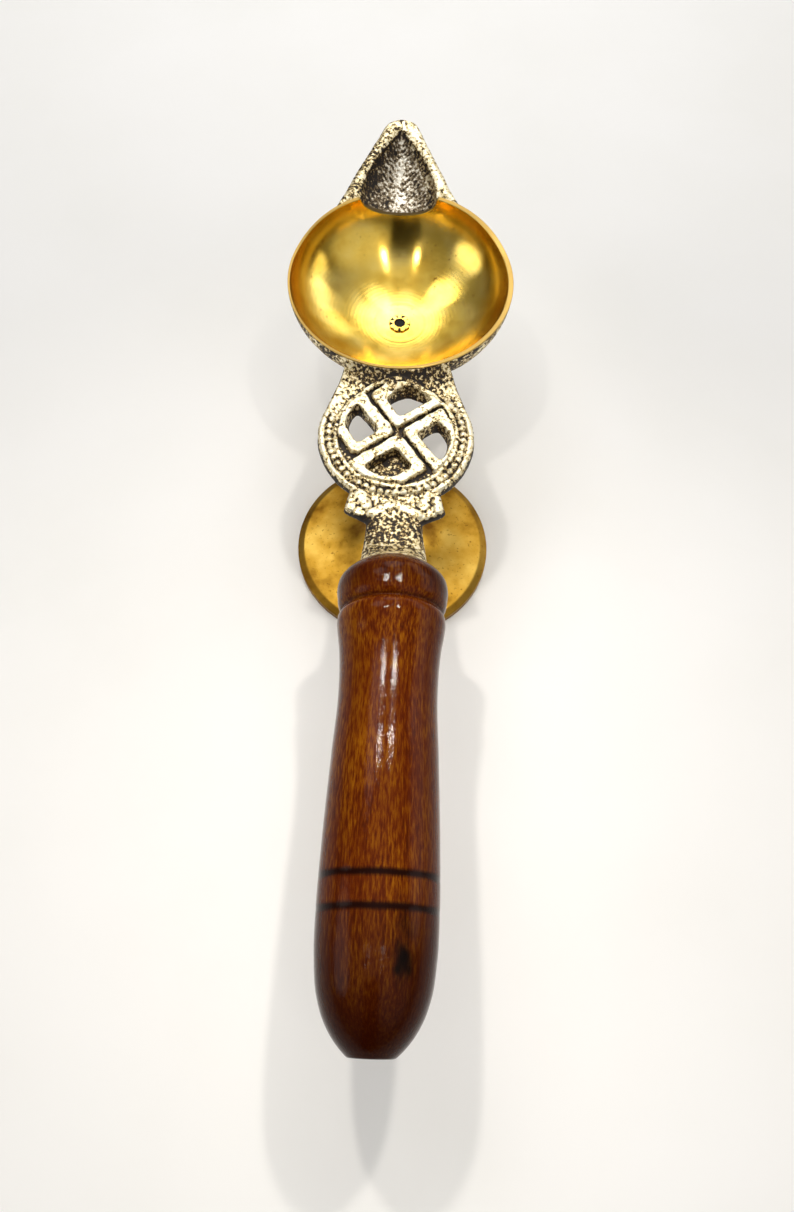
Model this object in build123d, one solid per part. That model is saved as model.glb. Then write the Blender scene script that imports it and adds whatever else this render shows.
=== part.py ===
from build123d import *
import os
from math import cos, radians, sin, sqrt, tan

# An aarti lamp. A brass casting holds the oil bowl, its wick lip, a pierced roundel and a neck in one
# piece. A turned wooden handle is cemented on the casting's tang. A brass foot and stem stand under the
# roundel, where the lamp balances, and a tie rod pulls them up to the casting.
# Lengths are in millimetres. The origin is the centre of the foot's resting face, +Z is up, +Y points
# along the lamp towards the wick lip, and the handle runs towards -Y.

# Foot, stem and fasteners
foot_radius = 27.4
foot_edge = 2.4          # height of the upright edge
bevel_width = 1.9        # bevelled band round the top of the edge
bevel_rise = 0.9
dome_run = 11.0          # from the bevel inwards to where the dome turns up to the hub
dome_rise = 1.9
recess_roof = 4.0        # metal between the recess below and the foot's top
wrench_room = 2.5        # recess radius beyond the washer
stem_length = 30.0
stem_base_radius = 6.6
stem_flange = 1.6
stem_wall = 1.2          # round the rod's hole at the waist
stem_waist_height = 17.0
hub_land = 0.6           # flat top of the foot beyond the stem
rod_radius = 2.5
rod_clearance = 0.2      # radial, in the foot, the stem and the washer
rod_grip = 3.6           # thread in the boss
rod_tail = 0.6           # rod showing below the nut
rod_lift = 0.8           # rod's end above the table
washer_radius = 5.5
washer_thickness = 1.0
nut_flats = 8.0
nut_height = 3.6
nut_sides = 6

# Bowl
rim_radius = 30.0
rim_width = 1.25
bowl_depth = 17.6
floor_thickness = 3.0
plug_hole_radius = 1.5
plug_wall = 0.4
plug_lip = 1.0           # head beyond the shank
plug_head_height = 0.6
plug_hole_depth = 1.4
spot_clearance = 0.1     # spot face round the plug's head

# Wick lip
lip_length = 22.6        # beyond the rim
lip_rise = 6.0
lip_root_half = 16.7     # half width where its sides leave the rim
lip_neck_half = 4.7      # half width where its tip starts to round
lip_neck_depth = 4.2
lip_tip_half = 2.6
lip_tip_depth = 2.4
lip_tip_run = 3.0
lip_tuck = 0.8           # root inside the bowl's wall
lip_sink = 0.3           # root below the rim's top
channel_mouth_half = 10.6
channel_mouth_depth = 6.0
channel_end_half = 1.6
channel_end_depth = 1.2
tip_wall = 3.8           # from the channel's end to the tip

# Roundel, shoulders and neck
roundel_y = 6.6          # its centre, from the stem's axis
roundel_radius = 19.55
roundel_tuck = 2.45      # how far it goes under the bowl's rim
web_taper = 21.8         # degrees, sides that narrow towards the bowl
plate_thickness = 3.0
rim_above_plate = 4.5
boss_radius = 4.6
boss_height = 4.5
boss_cap = 1.0           # top of the boss above the plate's underside
border_width = 1.8       # raised band round the roundel's edge
bead_band = 2.1          # sunk band inside it, which holds the beads
ring_width = 1.2         # raised ring inside the beads
band_relief = 0.7
bar_relief = 1.5
bar_width = 3.1          # raised bars round each window
window_rim = 1.45        # from a window to the ring
arm_near = 3.2           # window's side along the arm that bends over it
arm_far = 3.75           # window's side along the other arm
bend_room = 3.0          # left for the bent end of an arm
window_corner = 1.3
sign_turn = 35.6         # degrees, first arm of the sign from +X
sign_aside = 0.5         # sign's centre from the roundel's, towards +X
sign_ahead = 0.7         # and towards the bowl
window_count = 4
notch_rise = 2.25        # notch above the roundel's lowest point
notch_half = 11.4
shoulder_drop = 2.05     # shoulder's tip below the roundel's lowest point
shoulder_half = 12.2
shoulder_slope = 2.9
neck_half = 6.85
neck_height = 5.2
neck_flat = 0.6          # half height of the flats left on the neck's sides
neck_run = 5.2           # even stretch of the neck below the shoulders
bolster_run = 6.8        # flare from the neck to the handle
bolster_radius = 8.15
bolster_flat = 0.6       # half length of the short flats left on the bolster's rim

# Tang and handle
tang_length = 46.0
tang_base = 6.0
tang_tip = 3.8
bore_clearance = 0.15    # radial, outside the tang's corners
bore_end = 2.0           # bore beyond the tang
handle_length = 102.0
handle_front_radius = 8.3
collar_radius = 12.6
collar_middle = 5.8      # bead's widest place, from the front
groove_radius = 11.6
groove_place = 11.5
shoulder_radius = 12.27
shoulder_place = 14.0
waist_radius = 10.9
waist_place = 30.6
belly_radius = 12.33
belly_place = 74.6
butt_shoulder_radius = 10.95
butt_shoulder_run = 10.0  # from the butt's end
butt_radius = 4.95
ring_places = (69.85, 76.1)  # burnt rings, from the front
burn_width = 1.1
burn_depth = 0.25

# Heights and places that follow from the sizes above
recess_depth = rod_lift + rod_tail + nut_height + washer_thickness
foot_height = recess_depth + recess_roof
boss_bottom = foot_height + stem_length
plate_bottom = boss_bottom + boss_height
plate_top = plate_bottom + plate_thickness
handle_z = plate_bottom + plate_thickness / 2
rim_z = plate_top + rim_above_plate
bowl_y = roundel_y + roundel_radius + rim_radius - roundel_tuck
floor_z = rim_z - bowl_depth
roundel_low = roundel_y - roundel_radius
notch_y = roundel_low + notch_rise
shoulder_y = roundel_low - shoulder_drop
neck_y = shoulder_y - shoulder_slope
bolster_y = neck_y - neck_run - bolster_run
bore_radius = tang_base / sqrt(2) + bore_clearance
bore_length = tang_length + bore_end
rod_hole_radius = rod_radius + rod_clearance
stem_waist_radius = rod_hole_radius + stem_wall
plug_radius = plug_hole_radius + plug_wall
plug_head_radius = plug_radius + plug_lip
thread_top = boss_bottom + rod_grip


def turned(*edges):
    """Solid turned about Z from the edges of a closed half profile, given as (radius, height)."""
    return revolve(Plane.XZ * make_face(edges), Axis.Z)


def upright(radius, low, high, y=0):
    """Upright cylinder from the height low to the height high."""
    return Pos(0, y, low) * Cylinder(radius, high - low, align=(Align.CENTER, Align.CENTER, Align.MIN))


def across(y, z):
    """Plane that faces the handle at one place along the lamp, with its own Y up."""
    return Plane(origin=(0, y, z), x_dir=(1, 0, 0), z_dir=(0, -1, 0))


def along_handle(shape):
    """Lays a shape that was turned about Z along the handle, with its z = 0 at the handle's front."""
    return Pos(0, bolster_y, handle_z) * Rot(X=90) * shape


# Foot
def make_foot():
    bevel_in = foot_radius - bevel_width
    bevel_top = foot_edge + bevel_rise
    hub_radius = stem_base_radius + hub_land
    recess_radius = washer_radius + wrench_room
    turn_in = (bevel_in - dome_run, bevel_top + dome_rise)
    outline = Polyline(
        (hub_radius, foot_height),
        (rod_hole_radius, foot_height),
        (rod_hole_radius, recess_depth),
        (recess_radius, recess_depth),
        (recess_radius, 0),
        (foot_radius, 0),
        (foot_radius, foot_edge),
        (bevel_in, bevel_top),
    )
    dome = ThreePointArc((bevel_in, bevel_top), turn_in, (hub_radius, foot_height))
    return turned(*outline.edges(), dome)


# Stem
def make_stem():
    base = Polyline(
        (boss_radius, stem_length),
        (rod_hole_radius, stem_length),
        (rod_hole_radius, 0),
        (stem_base_radius, 0),
        (stem_base_radius, stem_flange),
    )
    side = Spline(
        (stem_base_radius, stem_flange),
        (stem_waist_radius, stem_waist_height),
        (boss_radius, stem_length),
    )
    return Pos(0, 0, foot_height) * turned(*base.edges(), side)


# Tie rod, washer and nut
def make_fasteners():
    rod = upright(rod_radius, rod_lift, thread_top)
    washer_low = recess_depth - washer_thickness
    washer = upright(washer_radius, washer_low, recess_depth)
    washer -= upright(rod_hole_radius, washer_low, recess_depth)
    nut_low = washer_low - nut_height
    hexagon = RegularPolygon(nut_flats / 2, nut_sides, major_radius=False) - Circle(rod_radius)
    nut = Pos(0, 0, nut_low) * extrude(hexagon, nut_height)
    return rod, washer, nut


# Bowl
def bowl_shell(radius, depth):
    """Solid half ellipsoid below the rim's plane, on the bowl's axis."""
    profile = turned(
        Line((0, -depth), (0, 0)),
        Line((0, 0), (radius, 0)),
        EllipticalCenterArc((0, 0), radius, depth, start_angle=270, arc_size=90),
    )
    return Pos(0, bowl_y, rim_z) * profile


def make_plug():
    floor_bottom = floor_z - floor_thickness
    head_top = floor_z + plug_head_height
    plug = upright(plug_radius, floor_bottom, floor_z, y=bowl_y)
    plug += upright(plug_head_radius, floor_z, head_top, y=bowl_y)
    return plug - upright(plug_hole_radius, head_top - plug_hole_depth, head_top, y=bowl_y)


# Wick lip
rim_front = bowl_y + rim_radius
tip_y = rim_front + lip_length
root_offset = sqrt(rim_radius ** 2 - lip_root_half ** 2) - lip_tuck
root_y = bowl_y + root_offset
mouth_y = rim_front - rim_width
channel_end_y = tip_y - tip_wall


def lip_top(y):
    """Height of the lip's top edges: a straight rise from its root to its tip."""
    return rim_z - lip_sink + (lip_rise + lip_sink) * (y - root_y) / (tip_y - root_y)


def hull_section(y, half, depth):
    """Half ellipse hanging from the lip's top at one place along it."""
    face = make_face([
        Line((-half, 0), (half, 0)),
        EllipticalCenterArc((0, 0), half, depth, start_angle=180, arc_size=180),
    ])
    return across(y, lip_top(y)) * face


def channel_section(y):
    """Wick channel's half ellipse with a straight-sided clearance above it, by linear rule along the lip."""
    part_way = (y - mouth_y) / (channel_end_y - mouth_y)
    half = channel_mouth_half + (channel_end_half - channel_mouth_half) * part_way
    depth = channel_mouth_depth + (channel_end_depth - channel_mouth_depth) * part_way
    face = make_face([
        Line((-half, 0), (-half, lip_rise)),
        Line((-half, lip_rise), (half, lip_rise)),
        Line((half, lip_rise), (half, 0)),
        EllipticalCenterArc((0, 0), half, depth, start_angle=180, arc_size=180),
    ])
    return across(y, lip_top(y)) * face


def make_lip():
    bowl_section_depth = (bowl_depth + floor_thickness) * sqrt(1 - (root_offset / rim_radius) ** 2)
    return loft([
        hull_section(root_y, lip_root_half - lip_tuck, bowl_section_depth - lip_tuck),
        hull_section(tip_y - lip_tip_run, lip_neck_half, lip_neck_depth),
        hull_section(tip_y, lip_tip_half, lip_tip_depth),
    ], ruled=True)


def make_channel():
    """Cutter for the wick channel, from the lip's root, in the open bowl, to the channel's end."""
    return loft([channel_section(root_y), channel_section(channel_end_y)], ruled=True)


# Roundel
ring_out = roundel_radius - border_width - bead_band
ring_in = ring_out - ring_width
window_reach = ring_in - window_rim


def mirrored_outline(points):
    """Closed outline from the points of its right half, listed from one end to the other."""
    left = [(-x, y) for x, y in reversed(points)]
    return make_face(Polyline(*points, *left, close=True))


def roundel_outline(inset=0):
    """Round plate with straight sides that leave the circle on a tangent and end inside the bowl."""
    radius = roundel_radius - inset
    taper = radians(web_taper)
    side_x = radius * cos(taper)
    side_y = radius * sin(taper)
    end_y = bowl_y - rim_radius / 2 - roundel_y
    web = mirrored_outline([
        (side_x, side_y),
        (side_x - (end_y - side_y) * tan(taper), end_y),
    ])
    return Pos(0, roundel_y) * (Circle(radius) + web)


def shoulder_outline():
    return mirrored_outline([
        (notch_half, roundel_y),
        (notch_half, notch_y),
        (shoulder_half, shoulder_y),
        (neck_half, neck_y),
    ])


def window(grow=0):
    """One window of the sign, in the corner between two arms: a square corner cut off by a circle."""
    high = window_reach - bend_room + grow
    low_x = arm_near - grow
    low_y = arm_far - grow
    reach = window_reach + grow
    corner = Pos(low_x, low_y) * Rectangle(reach, high - low_y, align=(Align.MIN, Align.MIN))
    shape = corner & Circle(reach)
    return fillet(shape.vertices(), window_corner + grow)


def in_roundel(shape, quarter):
    """Turns a shape drawn beside the sign's first arm to one quarter of the sign."""
    turn = Rot(Z=sign_turn + quarter * 360 / window_count)
    return Pos(sign_aside, roundel_y + sign_ahead) * turn * shape


def raised(face, height):
    """Relief on the plate, rooted in the plate's own thickness."""
    return Pos(0, 0, plate_bottom) * extrude(face, plate_thickness + height)


def make_roundel():
    plate = raised(roundel_outline() + shoulder_outline(), 0)
    border = roundel_outline() - roundel_outline(border_width)
    plate += raised(border, band_relief)
    plate += raised(Pos(0, roundel_y) * (Circle(ring_out) - Circle(ring_in)), band_relief)
    within_ring = Pos(0, roundel_y) * Circle(ring_in)
    for quarter in range(window_count):
        plate += raised(in_roundel(window(bar_width), quarter) & within_ring, bar_relief)
    for quarter in range(window_count):
        plate -= raised(in_roundel(window(), quarter), bar_relief)
    return plate


# Neck, bolster and tang
def neck_section(y, half, height, corner):
    return across(y, handle_z) * RectangleRounded(2 * half, height, corner)


def make_neck():
    even_y = neck_y - neck_run
    neck_corner = neck_height / 2 - neck_flat
    bolster_corner = bolster_radius - bolster_flat
    neck = loft([
        neck_section(shoulder_y, neck_half, neck_height, neck_corner),
        neck_section(even_y, neck_half, neck_height, neck_corner),
        neck_section(bolster_y, bolster_radius, 2 * bolster_radius, bolster_corner),
    ], ruled=True)
    tang = loft([
        across(bolster_y, handle_z) * Rectangle(tang_base, tang_base),
        across(bolster_y - tang_length, handle_z) * Rectangle(tang_tip, tang_tip),
    ], ruled=True)
    return neck, tang


# Casting
def make_casting():
    neck, tang = make_neck()
    casting = bowl_shell(rim_radius, bowl_depth + floor_thickness)
    casting += make_lip()
    casting += make_roundel()
    casting += neck
    casting += tang
    casting += upright(boss_radius, boss_bottom, plate_bottom + boss_cap)
    casting -= bowl_shell(rim_radius - rim_width, bowl_depth)
    casting -= make_channel()
    casting -= upright(plug_radius, floor_z - floor_thickness, floor_z, y=bowl_y)
    spot_radius = plug_head_radius + spot_clearance
    casting -= upright(spot_radius, floor_z, floor_z + plug_head_height, y=bowl_y)
    casting -= upright(rod_radius, boss_bottom, thread_top)
    return casting, tang


# Handle and cement
def make_handle():
    collar = Spline(
        (handle_front_radius, 0),
        (collar_radius, collar_middle),
        (groove_radius, groove_place),
    )
    body = Spline(
        (groove_radius, groove_place),
        (shoulder_radius, shoulder_place),
        (waist_radius, waist_place),
        (belly_radius, belly_place),
        (butt_shoulder_radius, handle_length - butt_shoulder_run),
        (butt_radius, handle_length),
    )
    ends = Polyline((butt_radius, handle_length), (0, handle_length), (0, 0), (handle_front_radius, 0))
    wood = turned(*ends.edges(), collar, body)
    wood -= upright(bore_radius, 0, bore_length)
    for place in ring_places:
        wood -= burnt_ring(body, place)
    return along_handle(wood)


def burnt_ring(body, place):
    """Shallow ring groove burnt into the turned body, square to it, at one place along the handle."""
    level = Line((0, place), (2 * belly_radius, place))
    radius = body.intersect(level).vertices()[0].X
    groove = Pos(radius, place) * Rectangle(2 * burn_depth, burn_width)
    return revolve(Plane.XZ * groove, Axis.Z)


def make_cement(tang):
    return along_handle(upright(bore_radius, 0, bore_length)) - tang


# Nodes
def main():
    casting, tang = make_casting()
    rod, washer, nut = make_fasteners()
    nodes = {
        "lamp_casting": casting,
        "bowl_plug": make_plug(),
        "handle": make_handle(),
        "tang_cement": make_cement(tang),
        "stem": make_stem(),
        "foot": make_foot(),
        "tie_rod": rod,
        "washer": washer,
        "nut": nut,
    }
    os.makedirs("parts", exist_ok=True)
    for name, shape in nodes.items():
        box = shape.bounding_box()
        print(name, len(shape.solids()), round(shape.volume, 1), box.min, box.max)
        export_step(shape, f"parts/{name}.step")


main()
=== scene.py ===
# %% [markdown]
# # An aarti lamp in cast brass, turned brass and lacquered wood
#
# The CAD model gives this lamp its sizes and places. Here every piece that shows is worked out again as a
# finer surface from the same dimensions, and gets a finish that starts from what the real one is.
# The lamp has no moving part, so every piece rides on the one body, "root".

import bmesh
import bpy
import numpy as np
from mathutils import Matrix, Vector


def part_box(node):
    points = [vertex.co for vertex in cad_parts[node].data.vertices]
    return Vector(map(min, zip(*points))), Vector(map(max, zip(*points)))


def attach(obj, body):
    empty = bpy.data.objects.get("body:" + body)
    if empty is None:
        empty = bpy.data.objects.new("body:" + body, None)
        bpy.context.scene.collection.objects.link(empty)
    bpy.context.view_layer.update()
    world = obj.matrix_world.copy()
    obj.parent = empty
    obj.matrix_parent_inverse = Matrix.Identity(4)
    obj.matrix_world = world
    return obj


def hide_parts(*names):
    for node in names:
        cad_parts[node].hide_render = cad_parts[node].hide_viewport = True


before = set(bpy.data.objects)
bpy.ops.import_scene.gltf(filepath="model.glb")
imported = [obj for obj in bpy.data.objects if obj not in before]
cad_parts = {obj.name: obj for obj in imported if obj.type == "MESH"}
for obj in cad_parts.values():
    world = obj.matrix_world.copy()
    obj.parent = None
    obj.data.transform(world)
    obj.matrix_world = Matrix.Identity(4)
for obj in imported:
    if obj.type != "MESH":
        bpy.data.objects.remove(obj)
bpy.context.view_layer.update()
MM = 0.001


def box_mm(node_name):
    """Lowest and highest corner of a CAD node, in millimetres."""
    low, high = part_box(node_name)
    return np.array(low) / MM, np.array(high) / MM


print("CAD nodes:", sorted(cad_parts))

# %% [markdown]
# ## Camera
# The photograph was taken from above the handle's end, steeply down. The place, the pitch and the small
# roll were fitted to the ellipses of the rim and the foot. A lens is easiest to give in pixels: the focal
# length over the image height is the same ratio as the lens over the sensor.

# %% Camera
IMAGE_HEIGHT = 1212
FOCAL_PIXELS = 900.0
SENSOR = 36.0
CAMERA_PLACE = np.array([1.9, -124.5, 233.4])
CAMERA_PITCH = np.radians(24.46)
CAMERA_ROLL = np.radians(1.9)

lens = bpy.data.cameras.new("camera")
lens.sensor_width = SENSOR
lens.lens = SENSOR * FOCAL_PIXELS / IMAGE_HEIGHT
camera = bpy.data.objects.new("camera", lens)
camera.matrix_world = (
    Matrix.Translation(CAMERA_PLACE * MM)
    @ Matrix.Rotation(CAMERA_PITCH, 4, "X")
    @ Matrix.Rotation(CAMERA_ROLL, 4, "Z")
)
bpy.context.collection.objects.link(camera)
bpy.context.scene.camera = camera
print("lens", round(lens.lens, 2), "mm")

# %% [markdown]
# ## From arrays to meshes
# Every surface below is a grid of points: one parameter runs along the rows, the other along the columns.
# Numpy works all the points out at once. Turned pieces are a profile carried round an axis, which is such a
# grid too, closed by a pole at each end or by joining the profile to itself.

# %% Grid helpers
def full_turn(segments):
    """Evenly spaced angles of one turn, which stops one step short of where it began."""
    return np.linspace(0, 2 * np.pi, segments, endpoint=False)


def grid_faces(rows, columns, join_rows=False, join_columns=False):
    """Quads between neighbours of a grid that is numbered row by row. A joined side wraps round."""
    index = np.arange(rows * columns).reshape(rows, columns)
    if join_columns:
        index = np.hstack([index, index[:, :1]])
    if join_rows:
        index = np.vstack([index, index[:1]])
    corners = [index[:-1, :-1], index[:-1, 1:], index[1:, 1:], index[1:, :-1]]
    return np.stack(corners, -1).reshape(-1, 4)


def revolve(radius, height, segments, loop=False):
    """Point (r sin a, r cos a, h) for each place of a profile and each angle a of a full turn.

    r and h are one value a place, or one a place and angle. A profile that starts and ends on the axis
    gets a pole at each end. A loop profile stays off the axis and joins its last place to its first.
    """
    shape = (len(radius), segments)
    radius = np.broadcast_to(np.reshape(radius, (shape[0], -1)), shape)
    height = np.broadcast_to(np.reshape(height, (shape[0], -1)), shape)
    turn = full_turn(segments)
    points = np.stack([radius * np.sin(turn), radius * np.cos(turn), height], -1)
    if loop:
        return points.reshape(-1, 3), [grid_faces(*shape, True, True)]
    rows = shape[0] - 2
    ring = np.arange(segments)
    after = np.roll(ring, -1)
    last_ring = (rows - 1) * segments
    first_pole = np.full(segments, rows * segments)
    faces = [
        grid_faces(rows, segments, join_columns=True),
        np.stack([first_pole, after, ring], -1),
        np.stack([first_pole + 1, ring + last_ring, after + last_ring], -1),
    ]
    return np.vstack([points[1:-1].reshape(-1, 3), points[0, :1], points[-1, :1]]), faces


# %% [markdown]
# ### From points to a piece
# A mesh could be built face by face with bmesh, but foreach_set hands all the points and faces to Blender in
# one call, which is far quicker. Normals are recalculated on the closed mesh, so a profile may be drawn in
# either direction. An edge that hasn't two faces would be a hole, so these are counted.

# %% Mesh helper
def add_piece(name, points, faces, node_name, record_slot, **values):
    """A mesh object from points in mm and arrays of quads and triangles, in place of a CAD node.

    Each further keyword is an array of one number a point, kept as an attribute for the finish.
    """
    sizes = np.concatenate([np.full(len(group), group.shape[1]) for group in faces])
    mesh = bpy.data.meshes.new(name)
    mesh.vertices.add(len(points))
    mesh.vertices.foreach_set("co", (points * MM).astype(np.float32).ravel())
    mesh.loops.add(int(sizes.sum()))
    mesh.loops.foreach_set("vertex_index", np.concatenate([g.ravel() for g in faces]).astype(np.int32))
    mesh.polygons.add(len(sizes))
    mesh.polygons.foreach_set("loop_start", (np.cumsum(sizes) - sizes).astype(np.int32))
    mesh.update(calc_edges=True)
    solid = bmesh.new()
    solid.from_mesh(mesh)
    bmesh.ops.recalc_face_normals(solid, faces=solid.faces)
    open_edges = sum(not edge.is_manifold for edge in solid.edges)
    solid.to_mesh(mesh)
    solid.free()
    mesh.shade_smooth()
    for value_name, numbers in values.items():
        attribute = mesh.attributes.new(value_name, "FLOAT", "POINT")
        attribute.data.foreach_set("value", numbers.astype(np.float32))
    piece = bpy.data.objects.new(name, mesh)
    bpy.context.collection.objects.link(piece)
    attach(piece, "root")
    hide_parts(node_name)
    triangles = int((sizes - 2).sum())
    print(f"{name}: {triangles} triangles, {open_edges} open edges")
    return piece


# %% [markdown]
# ### Profiles
# A turned profile is drawn as a few corners, as on a maker's template, and then rounded as much as the tool
# and wear round it. A long swell, such as the belly of a handle, is a smooth curve through a few places.

# %% Profile helpers
BLUR_SAMPLES = 11


def soften(corners, step, blur, loop=False):
    """A line through corners, sampled every step mm. Each sample is the mean of the line over blur mm
    round it, which rounds the corners; the mean narrows to nothing at the two ends of an open line."""
    corners = np.array(corners, float)
    if loop:
        corners = np.vstack([corners, corners[:1]])
    along = np.concatenate([[0], np.cumsum(np.linalg.norm(np.diff(corners, axis=0), axis=1))])
    total = along[-1]
    places = np.linspace(0, total, int(np.ceil(total / step)) + 1, endpoint=not loop)
    reach = np.full_like(places, blur / 2)
    if not loop:
        reach = np.minimum(reach, np.minimum(places, total - places))
    around = places[:, None] + reach[:, None] * np.linspace(-1, 1, BLUR_SAMPLES)
    around = around % total if loop else around
    return np.stack([np.interp(around, along, corners[:, k]).mean(1) for k in (0, 1)])


def smooth_curve(places, values, at):
    """A cubic through the values: each has the mean slope of its two sides, and a Hermite blend between."""
    places, values = np.array(places, float), np.array(values, float)
    slope = np.gradient(values, places)
    span = np.clip(np.searchsorted(places, at) - 1, 0, len(places) - 2)
    width = places[span + 1] - places[span]
    t = (at - places[span]) / width
    start = (2 * t**3 - 3 * t**2 + 1) * values[span] + (t**3 - 2 * t**2 + t) * width * slope[span]
    return start + (3 * t**2 - 2 * t**3) * values[span + 1] + (t**3 - t**2) * width * slope[span + 1]


# %% [markdown]
# ## Grain for cast metal
# Sand leaves its grain in a casting. A bump in the material alone would leave the outline smooth, so the
# coarse grain moves the vertices. Value noise is enough: random numbers on a lattice, blended between. The
# seeds differ from place to place, so that no two surfaces repeat each other.

# %% Grain helper
LATTICE = 48


def grain(points, size, seed):
    """Noise from -1 to 1 with cells of one size in mm: lattice numbers blended by 3t^2 - 2t^3."""
    table = np.random.default_rng(seed).uniform(-1, 1, (LATTICE,) * 3)
    cell = np.floor(points / size).astype(int)
    part = points / size - cell
    part = part * part * (3 - 2 * part)
    total = np.zeros(len(points))
    for corner in np.ndindex(2, 2, 2):
        weight = np.prod(np.where(corner, part, 1 - part), axis=-1)
        total += weight * table[tuple(np.moveaxis((cell + corner) % LATTICE, -1, 0))]
    return total


def roughen(piece, *layers, share=1.0):
    """Moves each vertex along its normal by layers of grain, each (size, height, seed) in mm.

    share is how much of that a vertex takes, one number or one a vertex.
    """
    mesh = piece.data
    points = np.empty(3 * len(mesh.vertices))
    normals = np.empty_like(points)
    mesh.vertices.foreach_get("co", points)
    mesh.vertex_normals.foreach_get("vector", normals)
    points = points.reshape(-1, 3) / MM
    move = share * sum(height * grain(points, size, seed) for size, height, seed in layers)
    points += normals.reshape(-1, 3) * move[:, None]
    mesh.vertices.foreach_set("co", (points * MM).ravel())
    mesh.update()


# %% [markdown]
# ## A slight lean
# Work done by hand is never quite straight: the front of this handle sits 0.8 mm to the right, and the root
# of the lip a little to the left. One curve of the place along the lamp moves lip, plate and handle
# together, so nothing parts where they meet. Bowl, stem and foot were turned, and stay true.

# %% Lean helper
LEAN_Y = [-132, -105, -70, -45, -30, -18, 7, 30, 54, 84, 107]
LEAN_X = [-0.15, 0.1, 0.45, 0.75, 0.8, 0.6, 0.25, 0.1, 0, -0.25, 0.1]


def lean(points):
    """Points moved aside by a smooth curve of their place along the lamp."""
    aside = smooth_curve(LEAN_Y, LEAN_X, np.clip(points[:, 1], LEAN_Y[0], LEAN_Y[-1]))
    return points + np.outer(aside, (1, 0, 0))


print("lean from", min(LEAN_X), "to", max(LEAN_X), "mm")

# %% [markdown]
# ## The bowl
# The bowl is half of a flattened ball: half an ellipse turned round an upright axis. Inside it was turned
# and buffed, outside it was left as cast, so it is two closed shells, one within the other. Both stop lower
# where the wick channel passes through the wall, so their top edge is a function of the angle. The channel
# was cast a little to the left of the bowl's middle, and the rim rises where it turns into the lip.

# %% Bowl dimensions
plug_low, plug_high = box_mm("bowl_plug")
casting_high = box_mm("lamp_casting")[1]
BOWL_Y = (plug_low[1] + plug_high[1]) / 2
FLOOR_THICKNESS = 3.0
FLOOR_Z = plug_low[2] + FLOOR_THICKNESS
RIM_Z = 52.0
RIM_RADIUS = casting_high[0]
RIM_WIDTH = 1.0
RIM_RISE = 1.9
RISE_START = 0.28
RISE_FULL = 0.95
INSIDE = np.array([RIM_RADIUS - RIM_WIDTH, RIM_Z - FLOOR_Z])
OUTSIDE = np.array([RIM_RADIUS, RIM_Z - FLOOR_Z + FLOOR_THICKNESS])
MIDWALL = (INSIDE + OUTSIDE) / 2
BUFFED_BAND = 0.4
CHANNEL_X = -1.2
CHANNEL_HALF = 10.4
CHANNEL_DEPTH = 6.0
CHANNEL_LEFT = 2.1
CHANNEL_RIGHT = 2.4
CHANNEL_SILL = 0.2
BOWL_SEGMENTS = 384
print("bowl centre y", round(BOWL_Y, 2), "floor z", round(FLOOR_Z, 2))


def blend_step(low, high, value):
    """0 below low, 1 above high, and 3t^2 - 2t^3 between."""
    t = np.clip((value - low) / (high - low), 0, 1)
    return t * t * (3 - 2 * t)


def dish(semi, z):
    """Radius of an ellipse of revolution at height z: r = a sqrt(1 - ((rim - z) / b)^2)."""
    return semi[0] * np.sqrt(np.clip(1 - ((RIM_Z - z) / semi[1]) ** 2, 0, 1))


def channel_drop(x, half, depth, squareness):
    """How far a channel lies below its edges: depth (1 - |x / half|^n)^(1/n), nothing outside it."""
    across = np.clip(np.abs(x) / half, 0, 1) ** squareness
    return depth * (1 - across) ** (1 / squareness)


def rim_rise(toward_lip):
    """How far the rim rises where it turns into the lip; toward_lip is 1 at the lip and -1 behind."""
    return RIM_RISE * blend_step(RISE_START, RISE_FULL, toward_lip)


def bowl_top(sill):
    """Height of the wall's top at each angle from +Y: the rim, or a little below the channel's floor.
    The channel's left wall slopes and its right wall is steeper."""
    turn = full_turn(BOWL_SEGMENTS)
    x = INSIDE[0] * np.sin(turn) - CHANNEL_X
    squareness = np.where(x > 0, CHANNEL_RIGHT, CHANNEL_LEFT)
    drop = channel_drop(x, CHANNEL_HALF, CHANNEL_DEPTH + sill, squareness)
    return RIM_Z + rim_rise(np.cos(turn)) - np.where(np.cos(turn) > 0, drop, 0)


def dish_rows(semi, top, rows):
    """Rows up an ellipse from its pole to a top height: r = a sin t, z = rim - b cos t, t evenly spaced."""
    t = np.linspace(0, 1, rows)[:, None] * np.arccos((RIM_Z - top) / semi[1])
    return semi[0] * np.sin(t), RIM_Z - semi[1] * np.cos(t)


# %% [markdown]
# ### Lining and rim
# The bowl's inside is bright and round, as a lathe and a buffing wheel leave it. Its rim is a narrow flat that
# dips a little inwards and has worn edges. The rim looks wider on one side, so the inside is set a little off
# centre, and a faint line runs round the plug. Rows of the grid run up the inside, over the rim, down a narrow
# buffed band and back through the middle of the wall, which makes the lining a closed shell.

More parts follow.
